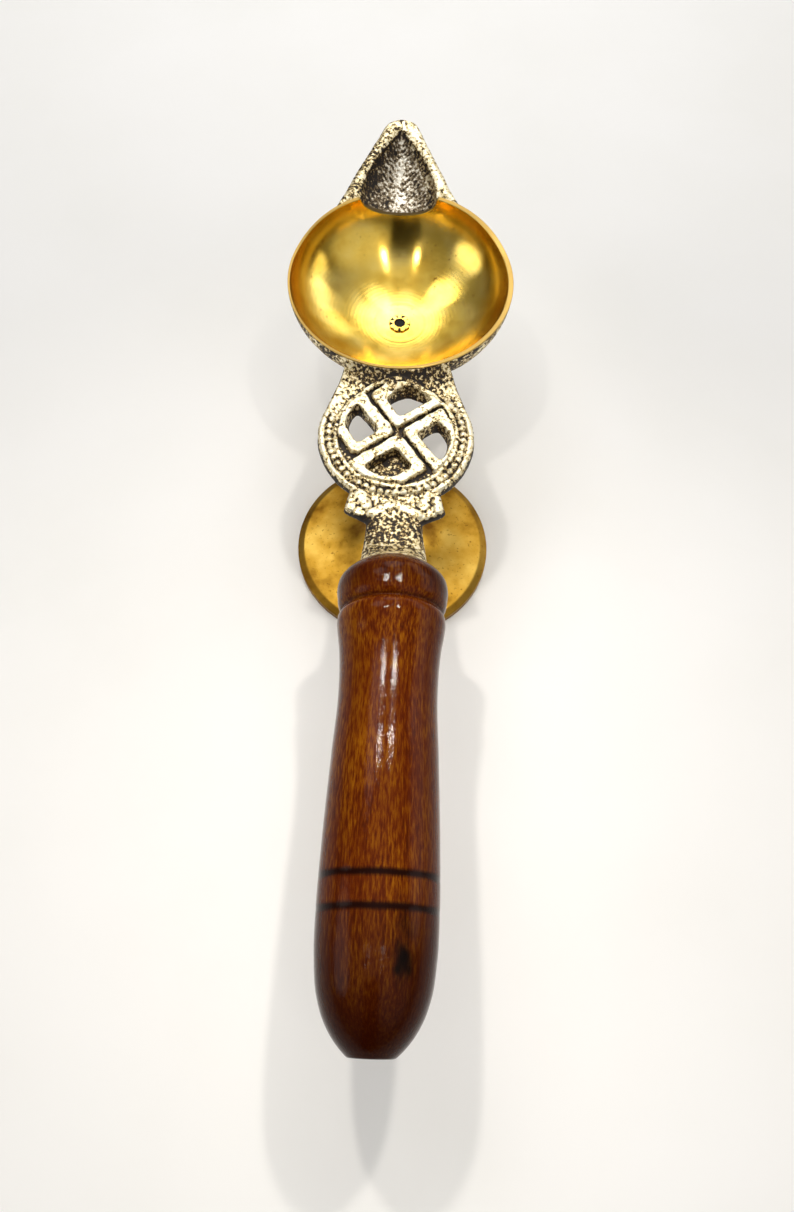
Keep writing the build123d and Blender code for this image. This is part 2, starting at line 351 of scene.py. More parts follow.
# %% Bowl lining and rim
RIM_DIP = 0.3
RIM_ROUND = 0.12
RIM_ROUND_SHARE = 0.16
SCRIBED_R = 6.4
SCRIBED_HALF = 0.3
SCRIBED_DEPTH = 0.05
DISH_SHIFT = 0.4
INSIDE_ROWS = 90
RIM_ROWS = 17
BAND_ROWS = 8
BACK_ROWS = 30
MOUTH_SOOT = 0.75
top = bowl_top(CHANNEL_SILL)
inside_r, inside_z = dish_rows(INSIDE, top - RIM_DIP - RIM_ROUND, INSIDE_ROWS)
sideways = np.sin(full_turn(BOWL_SEGMENTS))
inside_r = inside_r - DISH_SHIFT * sideways * (inside_r / INSIDE[0]) ** 2
inside_z = inside_z - SCRIBED_DEPTH * np.exp(-(((inside_r - SCRIBED_R) / SCRIBED_HALF) ** 2))
across = np.linspace(0, 1, RIM_ROWS + 1)[1:, None]
near_edge = np.clip(1 - np.minimum(across, 1 - across) / RIM_ROUND_SHARE, 0, 1)
rim_r = inside_r[-1] + (dish(OUTSIDE, top) - inside_r[-1]) * across
rim_z = top - RIM_DIP * (1 - across) - RIM_ROUND * near_edge**2
band_z = top - RIM_ROUND - (BUFFED_BAND - RIM_ROUND) * np.linspace(0, 1, BAND_ROWS + 1)[1:, None]
back_r, back_z = dish_rows(MIDWALL, top - BUFFED_BAND, BACK_ROWS)
lining_points, lining_faces = revolve(
    np.vstack([inside_r, rim_r, dish(OUTSIDE, band_z), back_r[::-1]]),
    np.vstack([inside_z, rim_z, band_z, back_z[::-1]]),
    BOWL_SEGMENTS,
)
# Painted shade: the rim and band inside the channel's mouth are darkened, as the shade under the lip's
# overhanging edge.
in_mouth = (np.abs(lining_points[:, 0] - CHANNEL_X) < CHANNEL_HALF) & (lining_points[:, 1] > 0)
lining_points[:, 1] += BOWL_Y
worn_rows = np.repeat([0, 1, 1, 0], [INSIDE_ROWS, RIM_ROWS, BAND_ROWS, BACK_ROWS])
worn_rim = np.append(np.repeat(worn_rows[1:-1], BOWL_SEGMENTS), [0, 0])
bowl_lining = add_piece(
    "bowl_lining", lining_points, lining_faces, "lamp_casting", "polished_brass",
    soot=MOUTH_SOOT * worn_rim * in_mouth, worn=worn_rim,
)

# %% [markdown]
# ### Outside of the bowl
# Little of the outside can be seen, so it is taken to keep the skin of the mould, as the roundel does. It is a
# half ellipse again, one wall thickness further out, closed through the middle of the wall, and two sizes of
# grain move its points. One value a point tells the finish how deep in a hollow it lies, since patina stays
# in hollows; on the lip and the plate the same value also carries painted shade and a painted highlight.

# %% Bowl outside
OUTSIDE_ROWS = 70
OUTSIDE_BACK_ROWS = 24
OUTSIDE_RECESS = 0.15
OUTSIDE_PATCHES = 0.3
OUTSIDE_GRAIN = ((1.1, 0.035, 12), (3.5, 0.05, 13))
outer_r, outer_z = dish_rows(OUTSIDE, top - BUFFED_BAND, OUTSIDE_ROWS)
inner_r, inner_z = dish_rows(MIDWALL, top - BUFFED_BAND, OUTSIDE_BACK_ROWS)
outside_points, outside_faces = revolve(
    np.vstack([outer_r, inner_r[::-1]]), np.vstack([outer_z, inner_z[::-1]]), BOWL_SEGMENTS
)
outside_points[:, 1] += BOWL_Y
bowl_outside = add_piece(
    "bowl_outside", outside_points, outside_faces, "lamp_casting", "cast_brass",
    recess=OUTSIDE_RECESS + OUTSIDE_PATCHES * grain(outside_points, size=5.0, seed=11),
)
roughen(bowl_outside, *OUTSIDE_GRAIN)

# %% [markdown]
# ### Plug in the bowl's floor
# A ring with an uneven edge and a dark hole lie in the middle of the floor. They are read as a small drilled
# plug, which might also be a boss of the casting, and the count of its lobes is a guess. The profile is drawn
# with sharp corners and softened, and the lobes make its radius a function of the angle. Its shallow hole is
# painted dark as shade, and painted shade lies between the lobes.

# %% Plug in the bowl's floor
PLUG_HOLE = 1.5
PLUG_HEAD = 0.6
PLUG_SINK = 0.5
PLUG_LOBES = 9
PLUG_LUMP = 0.035
PLUG_SEGMENTS = 96
PLUG_STEP = 0.08
PLUG_BLUR = 0.25
LOBE_SHARE = 0.7
LUMP_SHARE = 0.9
HOLE_MARGIN = 0.05
HOLE_MOUTH = 0.12
GAP_SOOT = 1.5
GAP_START = 0.2
GAP_BLEND = 0.4
plug_top = FLOOR_Z + PLUG_HEAD
plug_corners = [
    (0, plug_top - PLUG_SINK),
    (PLUG_HOLE, plug_top - PLUG_SINK),
    (PLUG_HOLE, plug_top),
    (plug_high[0], plug_top),
    (plug_high[0], FLOOR_Z - PLUG_HEAD),
    (0, FLOOR_Z - PLUG_HEAD),
]
plug_r, plug_z = soften(plug_corners, PLUG_STEP, PLUG_BLUR)
lobes = 1 + PLUG_LUMP * np.cos(PLUG_LOBES * full_turn(PLUG_SEGMENTS))
lobed = np.where((plug_r > PLUG_HOLE)[:, None], lobes, 1)
plug_points, plug_faces = revolve(plug_r[:, None] * lobed, plug_z, PLUG_SEGMENTS)
plug_away = np.hypot(plug_points[:, 0], plug_points[:, 1])
plug_wave = np.cos(PLUG_LOBES * np.arctan2(plug_points[:, 0], plug_points[:, 1]))
plug_wave = LOBE_SHARE * plug_wave + LUMP_SHARE * grain(plug_points, size=1.3, seed=15)
# Painted shade: the shallow hole and the gaps between the lobes get this dark value.
in_hole = (plug_away < PLUG_HOLE + HOLE_MARGIN) & (plug_points[:, 2] < plug_top - HOLE_MOUTH)
off_hole = np.clip((plug_away - PLUG_HOLE - GAP_START) / GAP_BLEND, 0, 1)
in_gap = np.clip(-GAP_SOOT * plug_wave, 0, 1) * off_hole
plug_points[:, 1] += BOWL_Y
bowl_plug = add_piece(
    "plug_ring", plug_points, plug_faces, "bowl_plug", "polished_brass", soot=np.maximum(in_hole, in_gap)
)

# %% [markdown]
# ## The wick lip
# The lip is a spout with raised rims and a ribbed channel that the wick lies in. Each section is a loop: up
# the hull, over the rim and down into the channel, then the other half, whose channel wall slopes more. The
# sections shrink to a blunt tip. The first one follows the round wall of the bowl, and that bend fades out
# along the lip. Below, v runs from 0 at the bowl to 1 at the tip.

# %% Lip sizes along its length
LIP_ROOT_Y = 82.0
LIP_TIP_Y = casting_high[1]
LIP_RISE = 6.0
LIP_ROOT_HALF = 15.8
LIP_TAPER = 12.2
LIP_FLARE = 1.3
LIP_FLARE_END = 0.15
LIP_DEPTH = 11.2
LIP_DEPTH_TAPER = 7.2
LIP_ROUND_START = 0.92
LIP_ROUND_POWER = 3.4
LIP_ROWS = 240
CHANNEL_END = 0.87
GROOVE_POWER = 1.75
GROOVE_LEAST = 0.02
GROOVE_MOST = 0.95
GROOVE_TIP = 0.001
GROOVE_DEPTH_POWER = 1.7
GROOVE_DEPTH_MOST = 0.7

v = np.linspace(0, 1, LIP_ROWS)[:, None]
past = np.clip(v - LIP_ROUND_START, 0, 1) / (1 - LIP_ROUND_START)
rounding = np.clip(1 - past**LIP_ROUND_POWER, 0, 1) ** (1 / LIP_ROUND_POWER)
flare = LIP_FLARE * np.clip(1 - v / LIP_FLARE_END, 0, 1) ** 2
lip_half = (LIP_ROOT_HALF - LIP_TAPER * v + flare) * rounding
lip_depth = (LIP_DEPTH - LIP_DEPTH_TAPER * v) * rounding
end = np.clip(v / CHANNEL_END, 0, 1)
groove_half = CHANNEL_HALF * (1 - end**GROOVE_POWER) + GROOVE_LEAST
groove_half = np.minimum(groove_half, GROOVE_MOST * lip_half + GROOVE_TIP)
groove_depth = np.minimum(CHANNEL_DEPTH * (1 - end**GROOVE_DEPTH_POWER), GROOVE_DEPTH_MOST * lip_depth)
print("lip half width at the bowl", lip_half[0, 0].round(2), "mm")

# %% [markdown]
# ### Sections of the lip
# Half a section has three stretches: the hull below is nearly a quarter of an ellipse, the brow is the raised
# rim, and the channel drops as a squared-off ellipse. Near the tip the channel is gone, and the brow closes
# over the top.

# %% Lip sections
HULL_POINTS = 56
HULL_POWER = 0.85
RIM_POINTS = 12
RIM_BULGE = 0.5
RIM_FULL = 2.0
ROOT_FADE = 0.07
ROOT_SINK = 0.3
TIP_CLOSING = 0.12
TIP_CLOSED = 0.93
at_root = np.clip(1 - v / ROOT_FADE, 0, 1)
quarter = np.linspace(0, np.pi / 2, HULL_POINTS)
ease = np.linspace(0, 1, RIM_POINTS)[1:-1]
brow_x = lip_half + (groove_half - lip_half) * ease
closed = blend_step(TIP_CLOSED - TIP_CLOSING, TIP_CLOSED, v)
brow_top = RIM_BULGE * np.minimum(1, (lip_half - groove_half) / RIM_FULL) * (1 - at_root)
brow_h = brow_top * np.sin(np.pi * ease * (1 - closed / 2))
groove_x = groove_half * np.cos(quarter)
half_x = np.hstack([lip_half * np.sin(quarter), brow_x, groove_x])


def section_height(squareness):
    """Heights of half of each section against its rim: the hull, the brow of the rim and the channel."""
    hull_h = -lip_depth * np.cos(quarter) ** HULL_POWER
    groove_top = brow_top * np.sin(np.pi * closed / 2)
    groove_h = groove_top - channel_drop(groove_x, groove_half, groove_depth, squareness)
    return np.hstack([hull_h, brow_h, groove_h])


print("half a section has", half_x.shape[1], "points")

# %% [markdown]
# ### Ribs of the channel
# The channel's floor has worn, slanting ribs on both sides of a plainer middle; their count is approximate. A
# sine of the place along the lip gives them. The distance from the middle slants it, and grain makes it waver
# and fade in patches, because sand doesn't hold fine ribs evenly.

# %% Lip surface
EDGE_SLOPE = 2.0
EDGE_START = 0.1
GROOVE_FADE = 0.06
RIB_PITCH = 1.55
RIB_SLANT = 1.1
RIB_MIDDLE = 0.6
RIB_HEIGHT = 0.14
RIB_WAVER = 0.55
RIB_MEAN = 0.65
RIB_PATCHES = 0.6
MIDRIB_PLACE = 0.05
MIDRIB_HALF = 0.26
MIDRIB_PLAIN = 0.7
LEFT_START = 0.5
LEFT_BLEND = 0.25
half_count = half_x.shape[1]
section_x = np.hstack([half_x, -half_x[:, -2:0:-1]])
placed_x = section_x + CHANNEL_X
root_rise = rim_rise(np.sqrt(1 - (placed_x[0] / RIM_RADIUS) ** 2))
level = RIM_Z + root_rise * (1 - v) ** 2 + LIP_RISE * v - ROOT_SINK * at_root**2
section_z = np.hstack([section_height(CHANNEL_RIGHT), section_height(CHANNEL_LEFT)[:, -2:0:-1]]) + level
inner_share = np.concatenate([np.zeros(HULL_POINTS), ease, np.ones(HULL_POINTS)])
inner_share = np.concatenate([inner_share, inner_share[-2:0:-1]])
wall_r = dish(MIDWALL, np.clip(section_z, None, RIM_Z))
wall_y = BOWL_Y + np.sqrt(np.clip(wall_r**2 - placed_x**2, 0, None))
section_y = LIP_ROOT_Y + (LIP_TIP_Y - LIP_ROOT_Y) * v + (wall_y - LIP_ROOT_Y) * (1 - v) ** 3
across_groove = section_x / groove_half
in_groove = inner_share * np.clip(EDGE_SLOPE * (1 - np.abs(across_groove)) + EDGE_START, 0, 1)
in_groove = in_groove * np.clip((CHANNEL_END - v) / GROOVE_FADE, 0, 1)
places = np.stack([section_x, section_y, section_z], -1).reshape(-1, 3)
waver = grain(places, size=2.2, seed=24).reshape(section_x.shape)
patchy = grain(places, size=3.4, seed=25).reshape(section_x.shape)
slanted_y = section_y - RIB_SLANT * np.abs(section_x - RIB_MIDDLE)
rib_phase = 2 * np.pi * (slanted_y / RIB_PITCH + RIB_WAVER * waver)
midrib = np.exp(-(((across_groove - MIDRIB_PLACE) / MIDRIB_HALF) ** 2)) * in_groove
rib = np.sin(rib_phase) * in_groove * (1 - at_root)
rib = rib * (RIB_MEAN + RIB_PATCHES * patchy) * (1 - MIDRIB_PLAIN * midrib)
# The channel's left wall, marked here, gets painted shade.
left_wall = np.clip((-across_groove - LEFT_START) / LEFT_BLEND, 0, 1) * inner_share
section_z = section_z + RIB_HEIGHT * rib
print("lip rises to z", section_z.max().round(2), "mm")

# %% [markdown]
# ### Mesh of the lip
# The sections become rows of quads, and a fan closes the tip. The first section is closed by quads between
# hull and channel; it lies hidden in the bowl's wall. Each point also learns how deep it lies in the channel,
# since soot and patina gather there. The same value carries painted shade on the channel's left wall and a
# painted highlight down its middle, and outside the channel makes the lip darker on its left, paler on its
# right.

# %% Lip mesh
GROOVE_LEVEL = 0.05
GROOVE_RECESS = 0.16
RIB_RECESS = 0.16
MIDRIB_RECESS = 0.32
LEFT_RECESS = 0.24
SIDE_RECESS = 0.1
LIP_PATCHES = 0.2
LIP_SOOT = 1.6
LIP_GRAIN = ((0.8, 0.06, 22), (2.4, 0.08, 23))
loop_count = section_x.shape[1]
lip_points = np.stack([placed_x, section_y, section_z], -1)[:-1].reshape(-1, 3)
lip_points = np.vstack([lip_points, [[CHANNEL_X, LIP_TIP_Y, RIM_Z + LIP_RISE]]])
last_ring = (LIP_ROWS - 2) * loop_count + np.arange(loop_count)
tip = np.full(loop_count, len(lip_points) - 1)
hull = np.arange(HULL_POINTS)
channel = half_count - 1 - hull
root_quads = np.stack([hull[:-1], hull[1:], channel[1:], channel[:-1]], -1)
brow = np.arange(HULL_POINTS - 1, HULL_POINTS + RIM_POINTS - 2)
brow_fan = np.stack([np.full(len(brow) - 1, channel[-1]), brow[:-1], brow[1:]], -1)
lip_faces = [
    grid_faces(LIP_ROWS - 1, loop_count, join_columns=True),
    root_quads,
    (loop_count - root_quads) % loop_count,
    brow_fan,
    (loop_count - brow_fan) % loop_count,
    np.stack([tip, last_ring, np.roll(last_ring, -1)], -1),
]
# Painted shade on the channel's left wall and a painted highlight down its middle go into this patina value.
groove_recess = GROOVE_RECESS - RIB_RECESS * rib - MIDRIB_RECESS * midrib + LEFT_RECESS * left_wall
lip_recess = np.where(in_groove > GROOVE_LEVEL, groove_recess, -SIDE_RECESS * np.sign(section_x))
lip_recess = np.append(lip_recess[:-1].ravel(), 0) + LIP_PATCHES * grain(lip_points, size=2.2, seed=21)
lip_soot = np.append(np.clip(in_groove * LIP_SOOT, 0, 1)[:-1].ravel(), 0)
off_root = np.append(np.repeat(1 - at_root[:-1, 0], loop_count), 1)
wick_lip = add_piece(
    "wick_lip", lean(lip_points), lip_faces, "lamp_casting", "cast_brass", recess=lip_recess, soot=lip_soot
)
roughen(wick_lip, *LIP_GRAIN, share=off_root)

# %% [markdown]
# ## The roundel, its shoulders and the neck
# The plate between bowl and handle is a relief: one height for each place, with windows cut through. Its
# outline and windows come from one function, the depth inside the metal, positive inside and zero on the
# edge. Grid points near an edge are moved onto it, and the edges are rounded like a pillow. The mould's
# draft makes the windows narrower below, and rough sand has chipped their edges.

# %% Outline of the plate
ROUNDEL_Y = 6.6
ROUNDEL_R = 19.55
WEB_TAPER = np.radians(19.5)
HANDLE_Z = 46.0
PLATE_HALF = 1.5
NECK_HALF = 6.6
FLARE_START = -18.5
FLARE_MOST = 1.1
FLARE_POWER = 1.3
BOLSTER_Y = box_mm("handle")[1][1]
BOLSTER_R = 8.15
SHOULDER_Y = [-23.1, -17.9, -15.0, -10.9, -8.5]
SHOULDER_HALF = [NECK_HALF, NECK_HALF + 0.1, 12.3, 11.3, 10.6]
CORNER_REACH = 0.45
CORNER_SAMPLES = 9
SLOPE_REACH = 0.5


def plate_half_width(y):
    """Half width of the plate at y: a circle, straight sides from it to the bowl, shoulders, neck, flare."""
    up = y - ROUNDEL_Y
    circle = np.sqrt(np.clip(ROUNDEL_R**2 - up**2, 0, None))
    side = (ROUNDEL_R - up * np.sin(WEB_TAPER)) / np.cos(WEB_TAPER)
    roundel = np.where(up > ROUNDEL_R * np.sin(WEB_TAPER), side, circle)
    shoulder = np.interp(y, SHOULDER_Y, SHOULDER_HALF)
    toward_wood = np.clip((FLARE_START - y) / (FLARE_START - BOLSTER_Y), 0, FLARE_MOST)
    flared = (BOLSTER_R - NECK_HALF) * toward_wood**FLARE_POWER
    return np.where(y > SHOULDER_Y[-1], roundel, np.maximum(roundel, shoulder) + flared)


def outline_depth(x, y):
    """Distance inside the plate's sides: (half width - |x|) over the slope's length, corners averaged."""
    around = y[..., None] + np.linspace(-CORNER_REACH, CORNER_REACH, CORNER_SAMPLES)
    half = plate_half_width(around).mean(-1)
    slope = (plate_half_width(y + SLOPE_REACH) - plate_half_width(y - SLOPE_REACH)) / (2 * SLOPE_REACH)
    return (half - np.abs(x)) / np.sqrt(1 + slope**2)


# %% [markdown]
# ### Windows
# The four windows leave a sign with four bent arms between them. One window is the space between two arms,
# under a straight top and within a round reach, and the other three are the same turned by quarter turns.
# Taking the least of the distances cuts them to shape, and a soft least rounds the corners as sand does.

# %% Windows of the roundel
SIGN_X = 0.5
SIGN_Y = 7.3
SIGN_TURN = np.radians(35.6)
WINDOW_REACH = 13.0
WINDOW_TOP = 10.0
WINDOW_ROUND = 1.6
ARM_NEAR = 3.2
ARM_FAR = 3.75
MOUTH_GROW = 0.4
MOUTH_SHIFT = 0.4
DRAFT = 0.35
CHIPPED = 0.22
SOCKET = 1.1
WALL_REACH = 28.2
END_WEIGHT = 3
FAR_OUTSIDE = -99.0


def soft_least(a, b, blend):
    """The smaller of two numbers, with the corner where they cross rounded over a blend width."""
    t = np.clip(0.5 + 0.5 * (b - a) / blend, 0, 1)
    return b + (a - b) * t - blend * t * (1 - t)


def flat_grain(x, y, size, seed):
    """Grain on the plane of the plate, in the shape of x."""
    return grain(np.stack([x, y, 0 * x], -1).reshape(-1, 3), size, seed).reshape(np.shape(x))


def window_depth(x, y):
    """Distance inside the nearest window: the least of two arm sides, a top and a round reach."""
    depth = np.full(np.shape(x), FAR_OUTSIDE)
    for quarter_turn in range(4):
        turn = SIGN_TURN + quarter_turn * np.pi / 2
        along = (x - SIGN_X) * np.cos(turn) + (y - SIGN_Y) * np.sin(turn)
        aside = -(x - SIGN_X) * np.sin(turn) + (y - SIGN_Y) * np.cos(turn)
        corner = soft_least(along - ARM_NEAR, aside - ARM_FAR, WINDOW_ROUND)
        outer = soft_least(WINDOW_TOP - aside, WINDOW_REACH - np.hypot(along, aside), WINDOW_ROUND)
        depth = np.maximum(depth, soft_least(corner, outer, WINDOW_ROUND))
    return depth


def mouth_depth(x, y):
    """Distance inside a window's mouth on the upper face: wider than the hole, more so on the near side."""
    return window_depth(x, y + MOUTH_SHIFT) + MOUTH_GROW + CHIPPED * flat_grain(x, y, size=2.3, seed=34)


def hole_depth(x, y):
    """Distance inside a window where it comes out below: the mould's draft leaves it smaller there."""
    return window_depth(x, y) - DRAFT + CHIPPED * flat_grain(x, y, size=2.9, seed=35)


def metal_depth(x, y):
    """Depth inside the metal of the plate; the ends, which run into bowl and wood, count three times."""
    ends = END_WEIGHT * np.minimum(np.hypot(x, y - BOWL_Y) - WALL_REACH, y - BOLSTER_Y + SOCKET)
    return np.minimum(np.minimum(outline_depth(x, y), -hole_depth(x, y)), ends)


# %% [markdown]
# ### Relief
# Such a pattern is commonly carved once and pressed into sand for each casting: frames round the windows, a
# ring, a row of beads, a border and leaves on the shoulders. Each is a height from 0 to 1 that falls off at
# its edge, and the highest one wins. A little grain shifts every edge, as wear does.

# %% Relief of the roundel
BAR_RELIEF = 1.4
BAR_WIDTH = 3.1
BAR_EDGE = (-0.3, 0.15)
RING_EDGE = (-0.1, 0.35)
BAR_CROWN = 0.25
CROWN_PLACE = 0.6
BORDER = 1.8
BEAD_BAND = 2.1
BAND_RELIEF = 0.75
RING_WIDTH = 1.2
RING_OUT = ROUNDEL_R - BORDER - BEAD_BAND
RING_IN = RING_OUT - RING_WIDTH
RING_HALF = 0.75
BEAD_R = ROUNDEL_R - BORDER - BEAD_BAND / 2
BEAD_PITCH = 1.9
BEAD_SIZE = 0.95
BEAD_HEIGHT = 0.8
BEAD_WEAR = 0.6
BEAD_FIRST = np.radians(160)
BEAD_LAST = np.radians(402)
BORDER_EDGE = (-0.35, 0.15)
BORDER_START = (-10.5, -8.0)
BORDER_STOP = (9.0, 15.0)
LEAF_HEIGHT = 0.5
LEAF_STROKES = (
    ((0.9, -13.4), (5.6, -15.9), 1.2),
    ((8.4, -10.6), (6.8, -13.6), 1.45),
    ((10.7, -11.6), (10.6, -14.4), 1.3),
)
WORN_EDGE = 0.28


def stroke(x, y, start, stop, half):
    """A raised stroke from start to stop: 1 on its line, falling to 0 at its half width."""
    start, stop = np.array(start), np.array(stop)
    run = stop - start
    t = np.clip(((x - start[0]) * run[0] + (y - start[1]) * run[1]) / (run @ run), 0, 1)
    away = np.hypot(x - start[0] - t * run[0], y - start[1] - t * run[1])
    return np.sqrt(np.clip(1 - (away / half) ** 2, 0, 1))


def within(limit, edge, value):
    """1 where a value is below a limit, 0 above it, and a soft edge of two offsets between."""
    return 1 - blend_step(limit + edge[0], limit + edge[1], value)


def relief(x, y):
    """Height of the ornament above the plate: frames round the windows, ring, beads, border and leaves."""
    radius = np.hypot(x, y - ROUNDEL_Y)
    worn_edge = WORN_EDGE * flat_grain(x, y, size=1.9, seed=36)
    from_window = -window_depth(x, y) + worn_edge
    frame_bar = within(BAR_WIDTH, BAR_EDGE, from_window) * within(RING_IN, RING_EDGE, radius + worn_edge)
    off_crown = (from_window - CROWN_PLACE * BAR_WIDTH) / BAR_WIDTH
    crown = np.clip(1 - BAR_CROWN * off_crown**2, 0, 1)
    ring_mid = (RING_IN + RING_OUT) / 2
    ring_bump = np.clip(1 - ((radius + worn_edge - ring_mid) / RING_HALF) ** 4, 0, 1)
    angle = np.mod(np.arctan2(y - ROUNDEL_Y, x) - BEAD_FIRST, 2 * np.pi)
    bead_at = np.round(angle * BEAD_R / BEAD_PITCH) * BEAD_PITCH / BEAD_R
    away = np.hypot(radius - BEAD_R, (angle - bead_at) * BEAD_R) + BEAD_WEAR * worn_edge
    beaded = bead_at < BEAD_LAST - BEAD_FIRST
    bead = np.where(beaded, np.sqrt(np.clip(1 - (away / BEAD_SIZE) ** 2, 0, 1)), 0)
    border = within(BORDER, BORDER_EDGE, outline_depth(x, y) + worn_edge)
    border = border * blend_step(*BORDER_START, y) * (1 - blend_step(*BORDER_STOP, y))
    height = np.maximum(BAR_RELIEF * frame_bar * crown, BAND_RELIEF * ring_bump)
    height = np.maximum(height, BAND_RELIEF * border)
    height = np.maximum(height, BEAD_HEIGHT * bead)
    for side in (-1, 1):
        for start, stop, half in LEAF_STROKES:
            height = np.maximum(height, LEAF_HEIGHT * stroke(side * x, y, start, stop, half))
    return height


# %% [markdown]
# ### Points on the edges
# A square grid would leave stairs along every edge. So points close to an edge step onto it along the slope
# of the depth, three times, and outline and windows come out smooth.

# %% Grid of the plate
GRID = 0.21
GRID_HALF = 20.16
GRID_SPARE = 0.04
GRID_BACK = 1.6
GRID_FRONT = 33.0
PROBE = 0.01
EDGE_STEPS = 3
EDGE_NEAR = 0.5 * GRID
LEAST_SLOPE = 0.3
grid_x, grid_y = np.meshgrid(
    np.arange(-GRID_HALF, GRID_HALF + GRID_SPARE, GRID), np.arange(BOLSTER_Y - GRID_BACK, GRID_FRONT, GRID)
)
depth = metal_depth(grid_x, grid_y)
for attempt in range(EDGE_STEPS):
    slope_x = (metal_depth(grid_x + PROBE, grid_y) - metal_depth(grid_x - PROBE, grid_y)) / (2 * PROBE)
    slope_y = (metal_depth(grid_x, grid_y + PROBE) - metal_depth(grid_x, grid_y - PROBE)) / (2 * PROBE)
    steep = np.maximum(np.hypot(slope_x, slope_y), LEAST_SLOPE)
    if attempt == 0:
        on_edge = np.abs(depth) / steep < EDGE_NEAR
    pull = np.where(on_edge, metal_depth(grid_x, grid_y) / steep**2, 0)
    grid_x, grid_y = grid_x - pull * slope_x, grid_y - pull * slope_y
depth = np.where(on_edge, 0, metal_depth(grid_x, grid_y))
print("grid of", *depth.shape, "points,", int(on_edge.sum()), "of them on an edge")

# %% [markdown]
# ### Thickness of the plate
# The plate thickens into a round neck, which widens into the bolster at the wood. Near the edges its faces
# curve together like those of a pillow. Where it meets the bowl, a fillet runs up to the rim, as on most
# castings, since sharp inner corners can tear while the metal cools.

# %% Thickness, pillow and fillet
NECK_HEIGHT = 2.6
NECK_END = -23.1
NECK_BLEND = (-21.5, -15.5)
BOLSTER_MOST = 1.05
PILLOW = 0.9
WEB_RUN = 7.5
WEB_DROP = 0.7
WEB_RISE = RIM_Z - WEB_DROP - HANDLE_Z - PLATE_HALF
WEB_START = (RIM_RADIUS - 1.0, RIM_RADIUS - 0.5)
toward_neck = 1 - blend_step(*NECK_BLEND, grid_y)
flared = np.clip((NECK_END - grid_y) / (NECK_END - BOLSTER_Y), 0, BOLSTER_MOST) ** 2
half_height = PLATE_HALF + (NECK_HEIGHT - PLATE_HALF) * toward_neck + (BOLSTER_R - NECK_HEIGHT) * flared
pillow = PILLOW + (plate_half_width(grid_y) - PILLOW) * toward_neck
share = np.clip(depth / pillow, 0, 1)
swell = np.sqrt(1 - (1 - share) ** 2)
from_bowl = np.hypot(grid_x, grid_y - BOWL_Y)
fillet = np.clip(1 - (from_bowl - RIM_RADIUS) / WEB_RUN, 0, 1) ** 2
fillet = WEB_RISE * fillet * blend_step(*WEB_START, from_bowl)
print("plate half height", half_height.min().round(2), "to", half_height.max().round(2), "mm")

# %% [markdown]
# ### Faces of the plate
# The upper face carries the relief, more worn down in some places of the shoulders than in others. Beside a
# window the height falls from the mouth on top to the smaller hole below, which gives the slanting walls.

# %% Upper and lower face
SHOULDER_WEAR = 0.35
SHOULDER_BLEND = (-8.0, -11.0)
HOLE_NEAR = 0.1
LEAST_WALL = 1e-4
WALL_FOOT = HANDLE_Z - PLATE_HALF + 0.5
UNDER_ROUND = 0.6
on_shoulders = blend_step(*SHOULDER_BLEND, grid_y)
worn = 1 + SHOULDER_WEAR * flat_grain(grid_x, grid_y, size=3.0, seed=33) * on_shoulders
to_hole = np.clip(-hole_depth(grid_x, grid_y), 0, None)
to_hole = np.where(on_edge & (to_hole < HOLE_NEAR), 0, to_hole)
mouth = mouth_depth(grid_x, grid_y)
wall_share = np.clip(to_hole / np.maximum(to_hole + mouth, LEAST_WALL), 0, 1)
wall_share = np.where(mouth > 0, wall_share, 1)
beside_hole = to_hole < 2 * pillow
full_height = half_height + worn * relief(grid_x, grid_y) + fillet
upper_z = HANDLE_Z + full_height * np.where(beside_hole, 1, swell)
grid_z = np.where(beside_hole, WALL_FOOT + (upper_z - WALL_FOOT) * wall_share, upper_z)
under_share = np.clip(to_hole / UNDER_ROUND, 0, 1)
under_edge = WALL_FOOT + (HANDLE_Z - half_height - WALL_FOOT) * np.sqrt(1 - (1 - under_share) ** 2)
under_z = np.where(beside_hole, under_edge, HANDLE_Z - half_height * swell)
print("relief up to z", grid_z.max().round(2), "mm")

# %% [markdown]
# ### Hollows
# Polish reaches the high places of a casting, and dark patina stays in the low ones. A place is a hollow
# when it lies below the mean height around it, so blurring the heights and taking them away finds the
# grooves between beads and bars. Neck and window walls get a value of their own, and the web by the bowl
# is darkened as patina and as painted shade.

# %% Hollows of the relief, where patina stays
HOLLOW_REACH = 6
HOLLOW_LEAST = -0.15
HOLLOW_MOST = 0.75
WALL_RECESS = 0.1
WALL_FOOT_RECESS = 0.4
WEB_RECESS = 0.28
WEB_FULL = 1.0
NECK_RECESS = 0.29
NECK_START = (-18.5, -15.5)
BOLSTER_BARE = (BOLSTER_Y + 0.9, BOLSTER_Y + 2.0)
BOLSTER_FADE = (-25.0, -23.0)
BOLSTER_SHARE = 0.4


def box_mean(values, reach):
    """Mean of a grid over a square of 2 reach + 1 cells, from running sums along both directions."""
    cells = 2 * reach + 1
    for axis in (0, 1):
        width = [(0, 0), (0, 0)]
        width[axis] = (reach + 1, reach)
        total = np.cumsum(np.pad(values, width, mode="edge"), axis=axis)
        count = total.shape[axis]
        ahead = np.take(total, range(cells, count), axis)
        values = (ahead - np.take(total, range(count - cells), axis)) / cells
    return values


